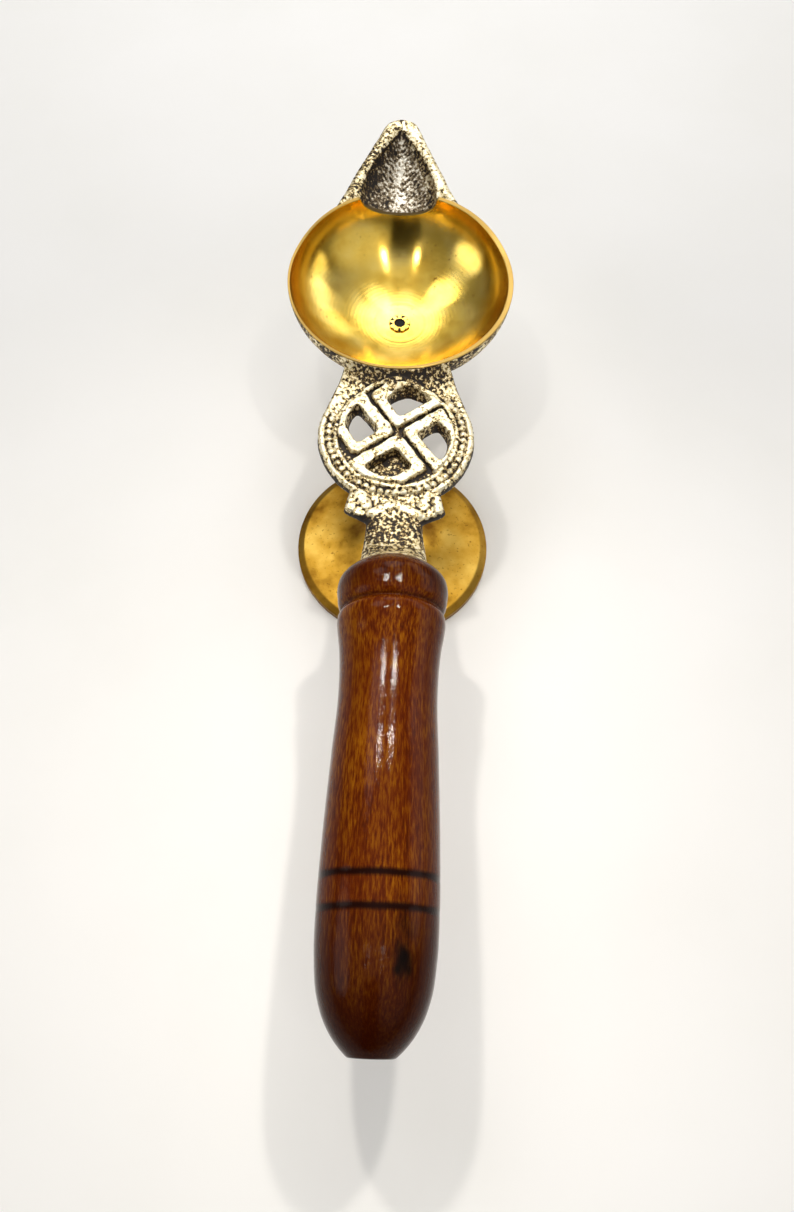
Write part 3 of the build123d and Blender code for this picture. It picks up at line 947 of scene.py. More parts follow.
solid_z = np.where((depth < 0) | (wall_share < 1), HANDLE_Z + PLATE_HALF, grid_z - fillet)
hollow = box_mean(box_mean(solid_z, HOLLOW_REACH), HOLLOW_REACH // 2) - solid_z
hollow = np.clip(hollow, HOLLOW_LEAST, HOLLOW_MOST)
on_neck = (1 - blend_step(*NECK_START, grid_y)) * blend_step(*BOLSTER_BARE, grid_y)
on_neck = on_neck * (BOLSTER_SHARE + (1 - BOLSTER_SHARE) * blend_step(*BOLSTER_FADE, grid_y))
hollow = np.where(toward_neck > 0, hollow * (1 - toward_neck) + NECK_RECESS * on_neck, hollow)
# Painted shade, with patina: the web by the bowl is darkened towards the rim.
hollow = hollow + WEB_RECESS * blend_step(RIM_RADIUS + WEB_RUN, RIM_RADIUS + WEB_FULL, from_bowl)
hollow = np.where(wall_share < 1, WALL_RECESS + WALL_FOOT_RECESS * (1 - wall_share), hollow)
print("hollows", hollow.min().round(2), "to", hollow.max().round(2))

# %% [markdown]
# ### Mesh of the plate
# Cells of the grid that lie in the metal become quads, and a cell that misses one corner becomes a triangle.
# Upper and lower face share their points on the edges, which closes the plate without a seam.

# %% Roundel mesh
UNDER_RECESS = 0.2
PLATE_GRAIN = ((0.7, 0.05, 31), (1.6, 0.07, 32))
inside = depth > 0
kept = inside | on_edge
number = np.full(depth.shape, -1)
number[kept] = np.arange(kept.sum())
under = number.copy()
under[inside] = kept.sum() + np.arange(inside.sum())
top_points = np.stack([grid_x, grid_y, grid_z], -1)[kept]
under_points = np.stack([grid_x, grid_y, under_z], -1)[inside]
cells = grid_faces(*depth.shape)
missing = ~kept.ravel()[cells]
touching = inside.ravel()[cells].any(1)
whole = cells[(missing.sum(1) == 0) & touching]
cut = cells[(missing.sum(1) == 1) & touching]
cut = cut[kept.ravel()[cut]].reshape(-1, 3)
plate_faces = [number.ravel()[whole], under.ravel()[whole], number.ravel()[cut], under.ravel()[cut]]
plate_points = lean(np.vstack([top_points, under_points]))
plate_recess = np.concatenate([hollow[kept], np.full(inside.sum(), UNDER_RECESS)])
roundel = add_piece(
    "roundel_plate", plate_points, plate_faces, "lamp_casting", "cast_brass", recess=plate_recess
)
roughen(roundel, *PLATE_GRAIN)

# %% [markdown]
# ### Boss under the roundel
# The boss can't be seen, and is made as such lamps commonly have it: a short round lug under the plate, which
# takes the tie rod's thread and stands on the stem. It widens in a fillet where it leaves the plate, as cast
# corners do.

# %% Boss under the roundel
stem_low, stem_high = box_mm("stem")
BOSS_R = 4.6
BOSS_TOP = HANDLE_Z - PLATE_HALF + 1.0
BOSS_FILLET = 1.3
BOSS_FILLET_LOW = 2.2
BOSS_FILLET_HIGH = 0.9
BOSS_STEP = 0.15
BOSS_BLUR = 0.8
BOSS_SEGMENTS = 128
BOSS_RECESS = 0.32
BOSS_PATCHES = 0.2
BOSS_GRAIN = (0.9, 0.05, 42)
boss_corners = [
    (0, stem_high[2]),
    (BOSS_R, stem_high[2]),
    (BOSS_R, BOSS_TOP - BOSS_FILLET_LOW),
    (BOSS_R + BOSS_FILLET, BOSS_TOP - BOSS_FILLET_HIGH),
    (BOSS_R + BOSS_FILLET, BOSS_TOP),
    (0, BOSS_TOP),
]
boss_r, boss_z = soften(boss_corners, BOSS_STEP, BOSS_BLUR)
boss_points, boss_faces = revolve(boss_r, boss_z, BOSS_SEGMENTS)
boss = add_piece(
    "stem_boss", boss_points, boss_faces, "lamp_casting", "cast_brass",
    recess=BOSS_RECESS + BOSS_PATCHES * grain(boss_points, size=2.0, seed=41),
)
roughen(boss, BOSS_GRAIN)

# %% [markdown]
# ## The handle
# The handle looks turned from one stick: a round collar, a cut groove, a waist and a full belly that closes
# in a small flat butt. Two dark rings run round it, as a turner burns them in with a wire. All of that is one
# profile round the axis.

# %% Handle profile
handle_low, handle_high = box_mm("handle")
HANDLE_FRONT = handle_high[1]
HANDLE_LENGTH = handle_high[1] - handle_low[1]
HANDLE_AXIS = (handle_low[2] + handle_high[2]) / 2
COLLAR_PLACES = [0, 1.9, 3.7, 5.8, 8.3, 10.2, 11.4]
COLLAR_RADII = [8.3, 10.8, 12.2, 12.7, 12.55, 12.2, 11.6]
BODY_PLACES = [11.9, 12.7, 14, 16.5, 20, 25, 30.6, 45.6, 62.6, 75.6, 85.1, 92, 96.1, 98.9, 100.8, 102]
BODY_RADII = [11.5, 12.05, 12.27, 12.05, 11.5, 11.05, 10.88, 11.49]
BODY_RADII += [12.12, 12.33, 11.99, 10.92, 9.35, 7.58, 5.9, 4.6]
BURNT_RINGS = (69.85, 76.1)
BURN_DEPTH = 0.04
BURN_HALF = 0.8
BURN_CORE = 0.6
PROFILE_STEP = 0.1
HANDLE_STEP = 0.36
HANDLE_BLUR = 0.5

along = np.arange(0, HANDLE_LENGTH, PROFILE_STEP)
collar = smooth_curve(COLLAR_PLACES, COLLAR_RADII, along)
body = smooth_curve(BODY_PLACES, BODY_RADII, along)
radius = np.where(along < COLLAR_PLACES[-1], collar, body)
for burnt in BURNT_RINGS:
    radius = radius - BURN_DEPTH * np.exp(-(((along - burnt) / (BURN_CORE * BURN_HALF)) ** 2))
butt_corners = [[BODY_RADII[-1], HANDLE_LENGTH], [0, HANDLE_LENGTH]]
corners = np.vstack([[[0, 0]], np.column_stack([radius, along]), butt_corners])
handle_r, handle_s = soften(corners, HANDLE_STEP, HANDLE_BLUR)
print("handle widest", handle_r.max().round(2), "rows", len(handle_r))

# %% [markdown]
# ### Scorch and knot
# The profile is turned round the handle's axis and laid down along the lamp. The finish needs to know where
# the rings are scorched, where the groove is dark and where the knot lies, so each becomes one number for
# every point; the rings and the groove share one. The rings waver a little, and the groove behind the collar
# is dark too. A knot is the root of a twig: a dark oval with a ragged edge, and a paler tail along the fibres.

# %% Handle surface, scorch and knot
HANDLE_SEGMENTS = 176
RING_WAVER = 0.12
GROOVE_PLACE = 11.6
GROOVE_SCORCH_HALF = 0.6
GROOVE_SCORCH = 0.45
KNOT = np.array([5.1, -115.0])
KNOT_HALF = np.array([2.1, 3.9])
KNOT_TAIL = np.array([5.3, -109.6])
KNOT_TAIL_HALF = np.array([1.7, 4.5])
KNOT_TAIL_SHARE = 0.55
KNOT_RAGGED = 0.35
turned_points, handle_faces = revolve(handle_r, handle_s, HANDLE_SEGMENTS)
handle_points = np.stack(
    [turned_points[:, 0], HANDLE_FRONT - turned_points[:, 2], HANDLE_AXIS + turned_points[:, 1]], -1
)
distance = turned_points[:, 2]
wavy = distance + RING_WAVER * grain(handle_points, size=4.0, seed=51)
scorch = sum(np.exp(-(((wavy - burnt) / BURN_HALF) ** 4)) for burnt in BURNT_RINGS)
scorch = scorch + GROOVE_SCORCH * np.exp(-(((distance - GROOVE_PLACE) / GROOVE_SCORCH_HALF) ** 2))
above = handle_points[:, 2] > HANDLE_AXIS
ragged = KNOT_RAGGED * grain(handle_points, size=1.3, seed=52)
knot_away = np.hypot(*((handle_points[:, :2] - KNOT) / KNOT_HALF).T) + ragged
tail_away = np.hypot(*((handle_points[:, :2] - KNOT_TAIL) / KNOT_TAIL_HALF).T) + ragged
knot = np.maximum(np.exp(-(knot_away**4)), KNOT_TAIL_SHARE * np.exp(-(tail_away**2))) * above
print("scorched points", int((scorch > 0.5).sum()), "knot points", int((knot > 0.5).sum()))

# %% [markdown]
# ### Painted shade
# Collar and butt are painted darker, as shade. The wood also darkens in a step at the last ring, as painted
# shade, and its sides are painted darker than its top, the right side more.

# %% Painted shade of the handle
BUTT_START = 76.0
BUTT_EDGE = 77.5
BUTT_RUN = 22
BUTT_STEP = 0.3
COLLAR_END = 12
COLLAR_RUN = 6
COLLAR_STAIN = 0.6
SIDE_BLEND = (0.35, 0.9)
RIGHT_STAIN = 0.45
LEFT_STAIN = 0.3
ON_AXIS = 0.01
# Painted shade: darker towards the butt, in a step at the last ring, at the collar and on the sides, the right
# side most.
toward_butt = np.clip((distance - BUTT_START) / BUTT_RUN, 0, 1)
below_rings = BUTT_STEP * blend_step(BUTT_START, BUTT_EDGE, distance) + (1 - BUTT_STEP) * toward_butt
on_collar = COLLAR_STAIN * np.clip((COLLAR_END - distance) / COLLAR_RUN, 0, 1)
aside_share = np.abs(turned_points[:, 0]) / np.maximum(np.hypot(*turned_points[:, :2].T), ON_AXIS)
side_stain = np.where(turned_points[:, 0] > 0, RIGHT_STAIN, LEFT_STAIN)
on_side = blend_step(*SIDE_BLEND, aside_share) * side_stain
butt = np.clip(below_rings + on_collar + on_side, 0, 1)
handle = add_piece(
    "turned_handle", lean(handle_points), handle_faces, "handle", "lacquered_wood",
    scorch=np.clip(scorch, 0, 1), knot=knot, butt=butt,
)

# %% [markdown]
# ## Foot and stem
# Both are round and smooth, as a lathe leaves them. A hidden rod through the middle is taken to hold them, so
# their profiles are closed loops that stay clear of the axis. The foot is a low dome with a bevelled edge and,
# as a guess, a recess below for the nut. Its dome is a parabola through the bevel, a middle place and the hub.

# %% Foot
foot_high = box_mm("foot")[1]
ROD_HOLE = 2.7
FOOT_EDGE = 2.4
BEVEL = (1.9, 0.9)
DOME = (14.5, 5.2)
DOME_ROWS = 60
HUB_R = 7.2
RECESS = (8.0, 6.0)
FOOT_STEP = 0.22
FOOT_BLUR = 0.5
FOOT_SEGMENTS = 224
TARNISH_EDGE = (-0.4, 0.5)
foot_r = foot_high[0]
bevel_r = foot_r - BEVEL[0]
dome_at = np.linspace(0, 1, DOME_ROWS)
dome_start = np.array([bevel_r, FOOT_EDGE + BEVEL[1]])
dome_end = np.array([HUB_R, foot_high[2]])
dome_pull = 2 * np.array(DOME) - (dome_start + dome_end) / 2
dome = np.outer((1 - dome_at) ** 2, dome_start) + np.outer(2 * dome_at * (1 - dome_at), dome_pull)
dome = dome + np.outer(dome_at**2, dome_end)
foot_corners = [
    (foot_r, 0),
    (foot_r, FOOT_EDGE),
    *dome,
    (ROD_HOLE, foot_high[2]),
    (ROD_HOLE, RECESS[1]),
    RECESS,
    (RECESS[0], 0),
]
foot_profile_r, foot_profile_z = soften(foot_corners, FOOT_STEP, FOOT_BLUR, loop=True)
foot_profile_z = np.clip(foot_profile_z, 0, None)
foot_points, foot_faces = revolve(foot_profile_r, foot_profile_z, FOOT_SEGMENTS, loop=True)
foot_away = np.hypot(foot_points[:, 0], foot_points[:, 1])
# A band over the foot's bevel is darker.
edge_tarnish = blend_step(bevel_r + TARNISH_EDGE[0], bevel_r + TARNISH_EDGE[1], foot_away)
foot = add_piece("turned_foot", foot_points, foot_faces, "foot", "turned_brass", tarnish=edge_tarnish)

# %% [markdown]
# ### Stem
# Little more than the stem's top can be seen, so its profile is a guess: a plain pillar with a slight waist,
# whose base flares out to the foot's hub and whose top is as wide as the boss that it meets.

# %% Stem
STEM_PLACES = [1.6, 3.0, 4.6, 7.0, 13.0, 21.0, 30.0]
STEM_RADII = [6.6, 4.9, 4.15, 3.9, 3.95, 4.2, 4.6]
STEM_ROWS = 80
STEM_STEP = 0.2
STEM_BLUR = 0.4
STEM_SEGMENTS = 128
stem_at = np.linspace(STEM_PLACES[0], STEM_PLACES[-1], STEM_ROWS)
stem_side = np.column_stack([smooth_curve(STEM_PLACES, STEM_RADII, stem_at), stem_low[2] + stem_at])
stem_corners = [(ROD_HOLE, stem_low[2]), (STEM_RADII[0], stem_low[2]), *stem_side, (ROD_HOLE, stem_high[2])]
stem_profile_r, stem_profile_z = soften(stem_corners, STEM_STEP, STEM_BLUR, loop=True)
stem_points, stem_faces = revolve(stem_profile_r, stem_profile_z, STEM_SEGMENTS, loop=True)
stem = add_piece("turned_stem", stem_points, stem_faces, "stem", "turned_brass")

# %% [markdown]
# ## Finishes
# A finish is a tree of nodes that ends in one Principled shader. Numbers that are the same all over go on
# the shader's own sockets. Patterns read Object coordinates, which here are metres in the lamp's frame, so
# a pattern's scale is one over the real size of its cells.

# %% Colour and node helpers
def linear(colour):
    """sRGB hex to linear RGBA: c / 12.92 up to 0.04045, else ((c + 0.055) / 1.055) ^ 2.4."""
    c = np.array([int(colour[k:k + 2], 16) for k in (1, 3, 5)]) / 255
    c = np.where(c <= 0.04045, c / 12.92, ((c + 0.055) / 1.055) ** 2.4)
    return (*c.tolist(), 1.0)


def per(size):
    """Cells per metre for a pattern whose cells are size mm."""
    return 1 / (size * MM)


def node(tree, kind, inputs=None, stops=None, **settings):
    """Adds a node: settings are its properties, inputs are numbers or sockets to link, stops fill a ramp."""
    made = tree.nodes.new(kind)
    for name, value in settings.items():
        setattr(made, name, value)
    for key, value in (inputs or {}).items():
        if isinstance(value, bpy.types.NodeSocket):
            tree.links.new(value, made.inputs[key])
        else:
            made.inputs[key].default_value = value
    for number, (place, colour) in enumerate(stops or []):
        ramp = made.color_ramp.elements
        stop = ramp[number] if number < len(ramp) else ramp.new(place)
        stop.position = place
        stop.color = linear(colour) if isinstance(colour, str) else (colour, colour, colour, 1)
    return made


# %% Finish helpers
def start_finish(name, sockets):
    """A material with one Principled shader, its constant sockets set, and Object coordinates to read."""
    material = bpy.data.materials.new(name)
    material.use_nodes = True
    tree = material.node_tree
    shader = tree.nodes["Principled BSDF"]
    for socket, value in sockets.items():
        shader.inputs[socket].default_value = value
    return material, tree, shader, node(tree, "ShaderNodeTexCoord").outputs["Object"]


def wire(tree, shader, links):
    """Links outputs to the shader's sockets by name."""
    for socket, output in links.items():
        tree.links.new(output, shader.inputs[socket])


def dress(material, *pieces):
    """Gives each piece the material in its one slot."""
    for piece in pieces:
        if piece.material_slots:
            for material_slot in piece.material_slots:
                material_slot.material = material
        else:
            piece.data.materials.append(material)
    print(material.name, "on", [piece.name for piece in pieces])


# %% [markdown]
# ### Marks of the lathe
# A tool that moves across turning metal leaves very fine rings. They are too fine to show in the render, so
# they are drawn coarser, about a millimetre apart, as a very shallow bump. What the eye sees of real ones is
# how they draw a highlight out across their run: the shader's Anisotropic, with a tangent round the axis.

# %% Lathe marks
WAVE_PERIOD = 0.314
MARK_DEPTH = 0.012


def lathe_marks(tree, shader, place, spacing, distortion, detail_scale):
    """Rings round Z, spacing mm apart, as a bump. A wave node's period is 0.314 of its unit."""
    rings = node(tree, "ShaderNodeTexWave", {
        "Vector": place, "Scale": WAVE_PERIOD * per(spacing), "Distortion": distortion, "Detail": 3.0,
        "Detail Scale": detail_scale}, wave_type="RINGS", rings_direction="Z").outputs["Fac"]
    marks = node(tree, "ShaderNodeBump", {
        "Height": rings, "Strength": 0.3, "Distance": MARK_DEPTH * MM}).outputs[0]
    round_axis = node(tree, "ShaderNodeTangent", direction_type="RADIAL", axis="Z").outputs[0]
    wire(tree, shader, {"Normal": marks, "Tangent": round_axis})


# %% [markdown]
# ### Buffed brass
# The bowl's inside is brass, turned and then buffed with a soft wheel and polish. It is slightly stained in
# patches and duller and paler on the rim. Painted shade darkens the lip's mouth, the plug's hole and the gaps
# between its lobes. Bare metal is a metallic shader. The painted shade is not a metal, so Metallic falls
# there.

# %% Buffed brass of the bowl
# A deep gold mirror with drawn-out highlights, hazier where it is stained and pale and dull on the rim.
buffed, tree, shader, place = start_finish("buffed_turned_brass", {
    "Anisotropic": 0.9, "Anisotropic Rotation": 0.25})
rubbed, sooty = [
    node(tree, "ShaderNodeAttribute", attribute_name=name).outputs["Fac"] for name in ("worn", "soot")
]
stain = node(tree, "ShaderNodeTexNoise", {"Vector": place, "Scale": per(9.0), "Detail": 5.0}).outputs["Fac"]
speck = node(tree, "ShaderNodeTexNoise", {"Vector": place, "Scale": per(1.1), "Detail": 4.0}).outputs["Fac"]
spots = node(tree, "ShaderNodeMapRange", {"Value": speck, "From Min": 0.66, "From Max": 0.74}).outputs[0]
tone = node(tree, "ShaderNodeValToRGB", {"Fac": stain}, stops=[
    (0.3, "#E2B642"), (0.5, "#F3CE5E"), (0.72, "#F8DA7A")]).outputs["Color"]
# 0E0803 is painted shade at the lip's mouth, in the plug's hole and between its lobes.
for share, colour in ((spots, "#B07F28"), (rubbed, "#BC9A54"), (sooty, "#0E0803")):
    tone = node(tree, "ShaderNodeMix", {0: share, 6: tone, 7: linear(colour)}, data_type="RGBA").outputs[2]
bare = node(tree, "ShaderNodeMapRange", {"Value": sooty, "To Min": 1.0, "To Max": 0.0}).outputs[0]
haze = node(tree, "ShaderNodeMapRange", {
    "Value": stain, "From Min": 0.3, "From Max": 0.75, "To Min": 0.13, "To Max": 0.21}).outputs[0]
for share, rougher in ((rubbed, 0.2), (sooty, 0.6)):
    haze = node(tree, "ShaderNodeMath", {0: share, 1: rougher, 2: haze}, operation="MULTIPLY_ADD").outputs[0]
wire(tree, shader, {"Base Color": tone, "Metallic": bare, "Roughness": haze})
centred = node(tree, "ShaderNodeMapping", {"Vector": place, "Location": (0, -BOWL_Y * MM, 0)}).outputs[0]
lathe_marks(tree, shader, centred, spacing=1.0, distortion=2.5, detail_scale=0.3)
dress(buffed, bowl_lining, bowl_plug)

# %% [markdown]
# ### Turned brass
# The foot is brass too, turned but less polished than the bowl, and cloudy with tarnish; the stem is taken to
# be like it. Broad noise makes the clouds, fine noise makes spots, and the foot's darker bevel has a number
# of its own. Each layer of colour is mixed over the ones before it.

# %% Turned brass of foot and stem
# A satin sheen in brownish gold, with dark clouds and a dull brown edge.
turned, tree, shader, place = start_finish("turned_satin_brass", {
    "Metallic": 1.0, "Anisotropic": 0.4, "Anisotropic Rotation": 0.25})
tarnish = node(tree, "ShaderNodeAttribute", attribute_name="tarnish").outputs["Fac"]
tarnish = node(tree, "ShaderNodeMath", {0: tarnish, 1: 0.65}, operation="MULTIPLY").outputs[0]
stain = node(tree, "ShaderNodeTexNoise", {"Vector": place, "Scale": per(9.0), "Detail": 6.0}).outputs["Fac"]
speck = node(tree, "ShaderNodeTexNoise", {"Vector": place, "Scale": per(0.8), "Detail": 3.0}).outputs["Fac"]
spots = node(tree, "ShaderNodeMapRange", {"Value": speck, "From Min": 0.62, "From Max": 0.74}).outputs[0]
tone = node(tree, "ShaderNodeValToRGB", {"Fac": stain}, stops=[
    (0.34, "#7A5010"), (0.5, "#BE9132"), (0.7, "#D8B052")]).outputs["Color"]
for share, colour in ((spots, "#7A541C"), (tarnish, "#6A4A14")):
    tone = node(tree, "ShaderNodeMix", {0: share, 6: tone, 7: linear(colour)}, data_type="RGBA").outputs[2]
haze = node(tree, "ShaderNodeMapRange", {
    "Value": stain, "From Min": 0.3, "From Max": 0.75, "To Min": 0.46, "To Max": 0.34}).outputs[0]
wire(tree, shader, {"Base Color": tone, "Roughness": haze})
lathe_marks(tree, shader, place, spacing=0.7, distortion=3.0, detail_scale=0.4)
dress(turned, foot, stem)

# %% [markdown]
# ### Sand-cast brass
# The casting keeps the grain of the sand. Its high places are bare and its pits and hollows dark, as when a
# darkened casting is rubbed back. One number, dark, adds up how deep a point lies, fine pits and broad lumps,
# and a steep ramp turns it into metal or patina. Patina isn't metal, so it is less metallic and rougher. The
# wick channel is greyer, as from soot.

# %% Sand-cast brass with patina in its hollows
# High places give a pale, almost silvery straw colour, and the hollows draw the pattern in brown and black.
cast, tree, shader, place = start_finish("sand_cast_brass", {})
recess, sooty = [
    node(tree, "ShaderNodeAttribute", attribute_name=name).outputs["Fac"] for name in ("recess", "soot")
]
pits = node(tree, "ShaderNodeTexNoise", {
    "Vector": place, "Scale": per(0.85), "Detail": 3.0, "Roughness": 0.62}).outputs["Fac"]
pits = node(tree, "ShaderNodeMath", {0: pits, 1: 1.12}, operation="MULTIPLY").outputs[0]
lumps = node(tree, "ShaderNodeTexNoise", {"Vector": place, "Scale": per(3.2), "Detail": 3.0}).outputs["Fac"]
# Besides patina, the value read here carries painted shade on the channel's left wall and on the web by the
# bowl, and a painted highlight down the channel's middle.
dark = node(tree, "ShaderNodeMath", {0: recess, 1: 0.43, 2: pits}, operation="MULTIPLY_ADD").outputs[0]
dark = node(tree, "ShaderNodeMath", {0: lumps, 1: 0.25, 2: dark}, operation="MULTIPLY_ADD").outputs[0]
straw = node(tree, "ShaderNodeValToRGB", {"Fac": dark}, stops=[
    (0.58, "#F6EED4"), (0.71, "#E0CE9A"), (0.76, "#86693A"), (0.82, "#1A1008")]).outputs["Color"]
grey = node(tree, "ShaderNodeValToRGB", {"Fac": dark}, stops=[
    (0.56, "#F2ECDD"), (0.69, "#A4957A"), (0.78, "#5E4C34"), (0.89, "#1A130C")]).outputs["Color"]
bare = node(tree, "ShaderNodeMapRange", {
    "Value": dark, "From Min": 0.72, "From Max": 0.84, "To Min": 1.0, "To Max": 0.2}).outputs[0]
dull = node(tree, "ShaderNodeMapRange", {
    "Value": dark, "From Min": 0.55, "From Max": 0.85, "To Min": 0.42, "To Max": 0.65}).outputs[0]
marks = node(tree, "ShaderNodeBump", {"Height": pits, "Strength": 0.5, "Distance": 0.2 * MM}).outputs[0]
tone = node(tree, "ShaderNodeMix", {0: sooty, 6: straw, 7: grey}, data_type="RGBA").outputs[2]
wire(tree, shader, {"Base Color": tone, "Metallic": bare, "Roughness": dull, "Normal": marks})
dress(cast, bowl_outside, wick_lip, roundel, boss)

# %% [markdown]
# ### Stained and lacquered wood
# The handle is red-brown wood under a clear gloss, as stain and lacquer give. Noise that is stretched along
# the handle gives short pores and long streaks, and round noise gives redder clouds. The lacquer is a clear
# coat with its own slight ripple, so it mirrors lamps sharply while the wood below stays soft. A coat's usual
# IOR of about 1.5 mirrored too much here, so it is lower, and a little sheen pales the sides.

# %% Tone of the wood
# Deep red-brown with fine lighter fibres, painted darker at the ends and sides as shade, under a clear gloss.
wood, tree, shader, place = start_finish("lacquered_stained_hardwood", {
    "Coat Weight": 1.0, "Coat Roughness": 0.05, "Coat IOR": 1.17, "Specular IOR Level": 0.0,
    "Sheen Weight": 0.2, "Sheen Roughness": 0.1, "Sheen Tint": linear("#F2DFD0")})
fibre_place, streak_place, film_place = [
    node(tree, "ShaderNodeMapping", {
        "Vector": place, "Scale": (per(across), per(along), per(across))}).outputs[0]
    for across, along in ((0.4, 2.8), (4.0, 45.0), (0.42, 1.1))
]
fibres = node(tree, "ShaderNodeTexNoise", {
    "Vector": fibre_place, "Scale": 1.0, "Detail": 4.0, "Roughness": 0.6}).outputs["Fac"]
streaks = node(tree, "ShaderNodeTexNoise", {
    "Vector": streak_place, "Scale": 1.0, "Detail": 3.0, "Distortion": 0.4}).outputs["Fac"]
cloud = node(tree, "ShaderNodeTexNoise", {"Vector": place, "Scale": per(16.0), "Detail": 4.0}).outputs["Fac"]
mixed = node(tree, "ShaderNodeMath", {0: streaks, 1: 0.4, 2: fibres}, operation="MULTIPLY_ADD").outputs[0]
tone = node(tree, "ShaderNodeValToRGB", {"Fac": mixed}, stops=[
    (0.52, "#3E1602"), (0.63, "#531F03"), (0.74, "#6C3504"), (0.87, "#864E08")]).outputs["Color"]
redder = node(tree, "ShaderNodeMapRange", {
    "Value": cloud, "From Min": 0.40, "From Max": 0.66, "To Max": 0.6}).outputs[0]
stained, knotty, scorched = [
    node(tree, "ShaderNodeAttribute", attribute_name=name).outputs["Fac"]
    for name in ("butt", "knot", "scorch")
]
# Painted shade: the collar, the butt and the sides are darkened towards #260801.
stained = node(tree, "ShaderNodeMath", {0: stained, 1: 0.85}, operation="MULTIPLY").outputs[0]
wood_layers = ((redder, "#4C1702"), (stained, "#260801"), (knotty, "#0C0402"), (scorched, "#180502"))
for share, colour in wood_layers:
    tone = node(tree, "ShaderNodeMix", {0: share, 6: tone, 7: linear(colour)}, data_type="RGBA").outputs[2]
print("wood toned in", len(wood_layers), "layers over its fibres")

# %% Surface of the wood and its lacquer
dull = node(tree, "ShaderNodeMapRange", {
    "Value": fibres, "From Min": 0.3, "From Max": 0.7, "To Min": 0.55, "To Max": 0.4}).outputs[0]
film = node(tree, "ShaderNodeTexNoise", {"Vector": film_place, "Scale": 1.0, "Detail": 3.0}).outputs["Fac"]
ripple = node(tree, "ShaderNodeBump", {"Height": film, "Strength": 0.65, "Distance": 0.06 * MM}).outputs[0]
pores = node(tree, "ShaderNodeBump", {
    "Height": fibres, "Strength": 0.35, "Distance": 0.05 * MM, "Normal": ripple}).outputs[0]
wire(tree, shader, {"Base Color": tone, "Roughness": dull, "Normal": pores, "Coat Normal": ripple})
dress(wood, handle)

# %% [markdown]
# ### Zinc and cement
# Rod, washer, nut and the cement round the tang are hidden, so they are guesses from common practice: steel
# plated with zinc, and lac melted into the bore. They keep the CAD's own mesh, since they would show only on
# a lamp that is taken apart.

# %% Zinc-plated steel of rod, washer and nut
# Light grey metal, half bright, with cloudy crystals.
zinc, tree, shader, place = start_finish("zinc_plated_steel", {"Metallic": 1.0})
spangle = node(tree, "ShaderNodeTexNoise", {"Vector": place, "Scale": per(1.4), "Detail": 3.0}).outputs["Fac"]
tone = node(tree, "ShaderNodeValToRGB", {"Fac": spangle}, stops=[
    (0.35, "#8F9294"), (0.65, "#C3C6C8")]).outputs["Color"]
dull = node(tree, "ShaderNodeMapRange", {"Value": spangle, "To Min": 0.25, "To Max": 0.5}).outputs[0]
wire(tree, shader, {"Base Color": tone, "Roughness": dull})
dress(zinc, *[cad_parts[name] for name in ("tie_rod", "washer", "nut")])

# %% Lac cement round the tang
# A dark red-brown resin with clots and a dull gloss.
cement, tree, shader, place = start_finish("lac_cement", {"Roughness": 0.45})
clots = node(tree, "ShaderNodeTexNoise", {"Vector": place, "Scale": per(1.2), "Detail": 4.0}).outputs["Fac"]
tone = node(tree, "ShaderNodeValToRGB", {"Fac": clots}, stops=[
    (0.35, "#2A0F08"), (0.65, "#54200F")]).outputs["Color"]
wire(tree, shader, {"Base Color": tone})
dress(cement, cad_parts["tang_cement"])

# %% [markdown]
# ## Floor, lamps and room
# The lamp stands on white paper. The sheet is far larger than the picture, so that no edge of it shows, and
# a faint mottle keeps it from looking like a flat colour. It is only a stage, and not part of the lamp.

# %% Floor
FLOOR_HALF = 3000.0
floor_corners = np.array([(-1, -1, 0), (1, -1, 0), (1, 1, 0), (-1, 1, 0)]) * FLOOR_HALF * MM
floor_mesh = bpy.data.meshes.new("floor")
floor_mesh.from_pydata(floor_corners.tolist(), [], [(0, 1, 2, 3)])
floor = bpy.data.objects.new("floor", floor_mesh)
bpy.context.collection.objects.link(floor)
# Matt white with hardly any gloss.
paper, tree, shader, place = start_finish("white_paper", {"Roughness": 0.7, "Specular IOR Level": 0.25})
mottle = node(tree, "ShaderNodeTexNoise", {"Vector": place, "Scale": per(60.0), "Detail": 5.0}).outputs["Fac"]
tone = node(tree, "ShaderNodeValToRGB", {"Fac": mottle}, stops=[
    (0.35, "#F9F8F5"), (0.65, "#FCFBF9")]).outputs["Color"]
wire(tree, shader, {"Base Color": tone})
dress(paper, floor)

# %% [markdown]
# ### Lamps
# Two small lamps above the roundel throw the two soft shadows beside the handle and draw the pair of streaks
# on its lacquer. Two bulbs high up on the near side, one of them weaker, draw two narrow streaks in the bowl.
# A window at the far left, a pane beyond it and a softbox over the lip light the brass from the far side.

# %% Lamps
def add_lamp(name, stand, aim, size, power, colour="#FFFFFF", spread=180):
    """A round area lamp that stands at a place in mm and faces another, with its beam's spread in degrees."""
    stand, aim = np.array(stand, float), np.array(aim, float)
    bulb = bpy.data.lights.new(name, "AREA")
    bulb.shape = "DISK"
    bulb.size = size * MM
    bulb.energy = power
    bulb.spread = np.radians(spread)
    bulb.color = linear(colour)[:3]
    lamp = bpy.data.objects.new(name, bulb)
    turn = Vector(aim - stand).to_track_quat("-Z", "Y").to_matrix().to_4x4()
    lamp.matrix_world = Matrix.Translation(stand * MM) @ turn
    bpy.context.collection.objects.link(lamp)
    print(f"{name}: {size} mm across, {power} W")


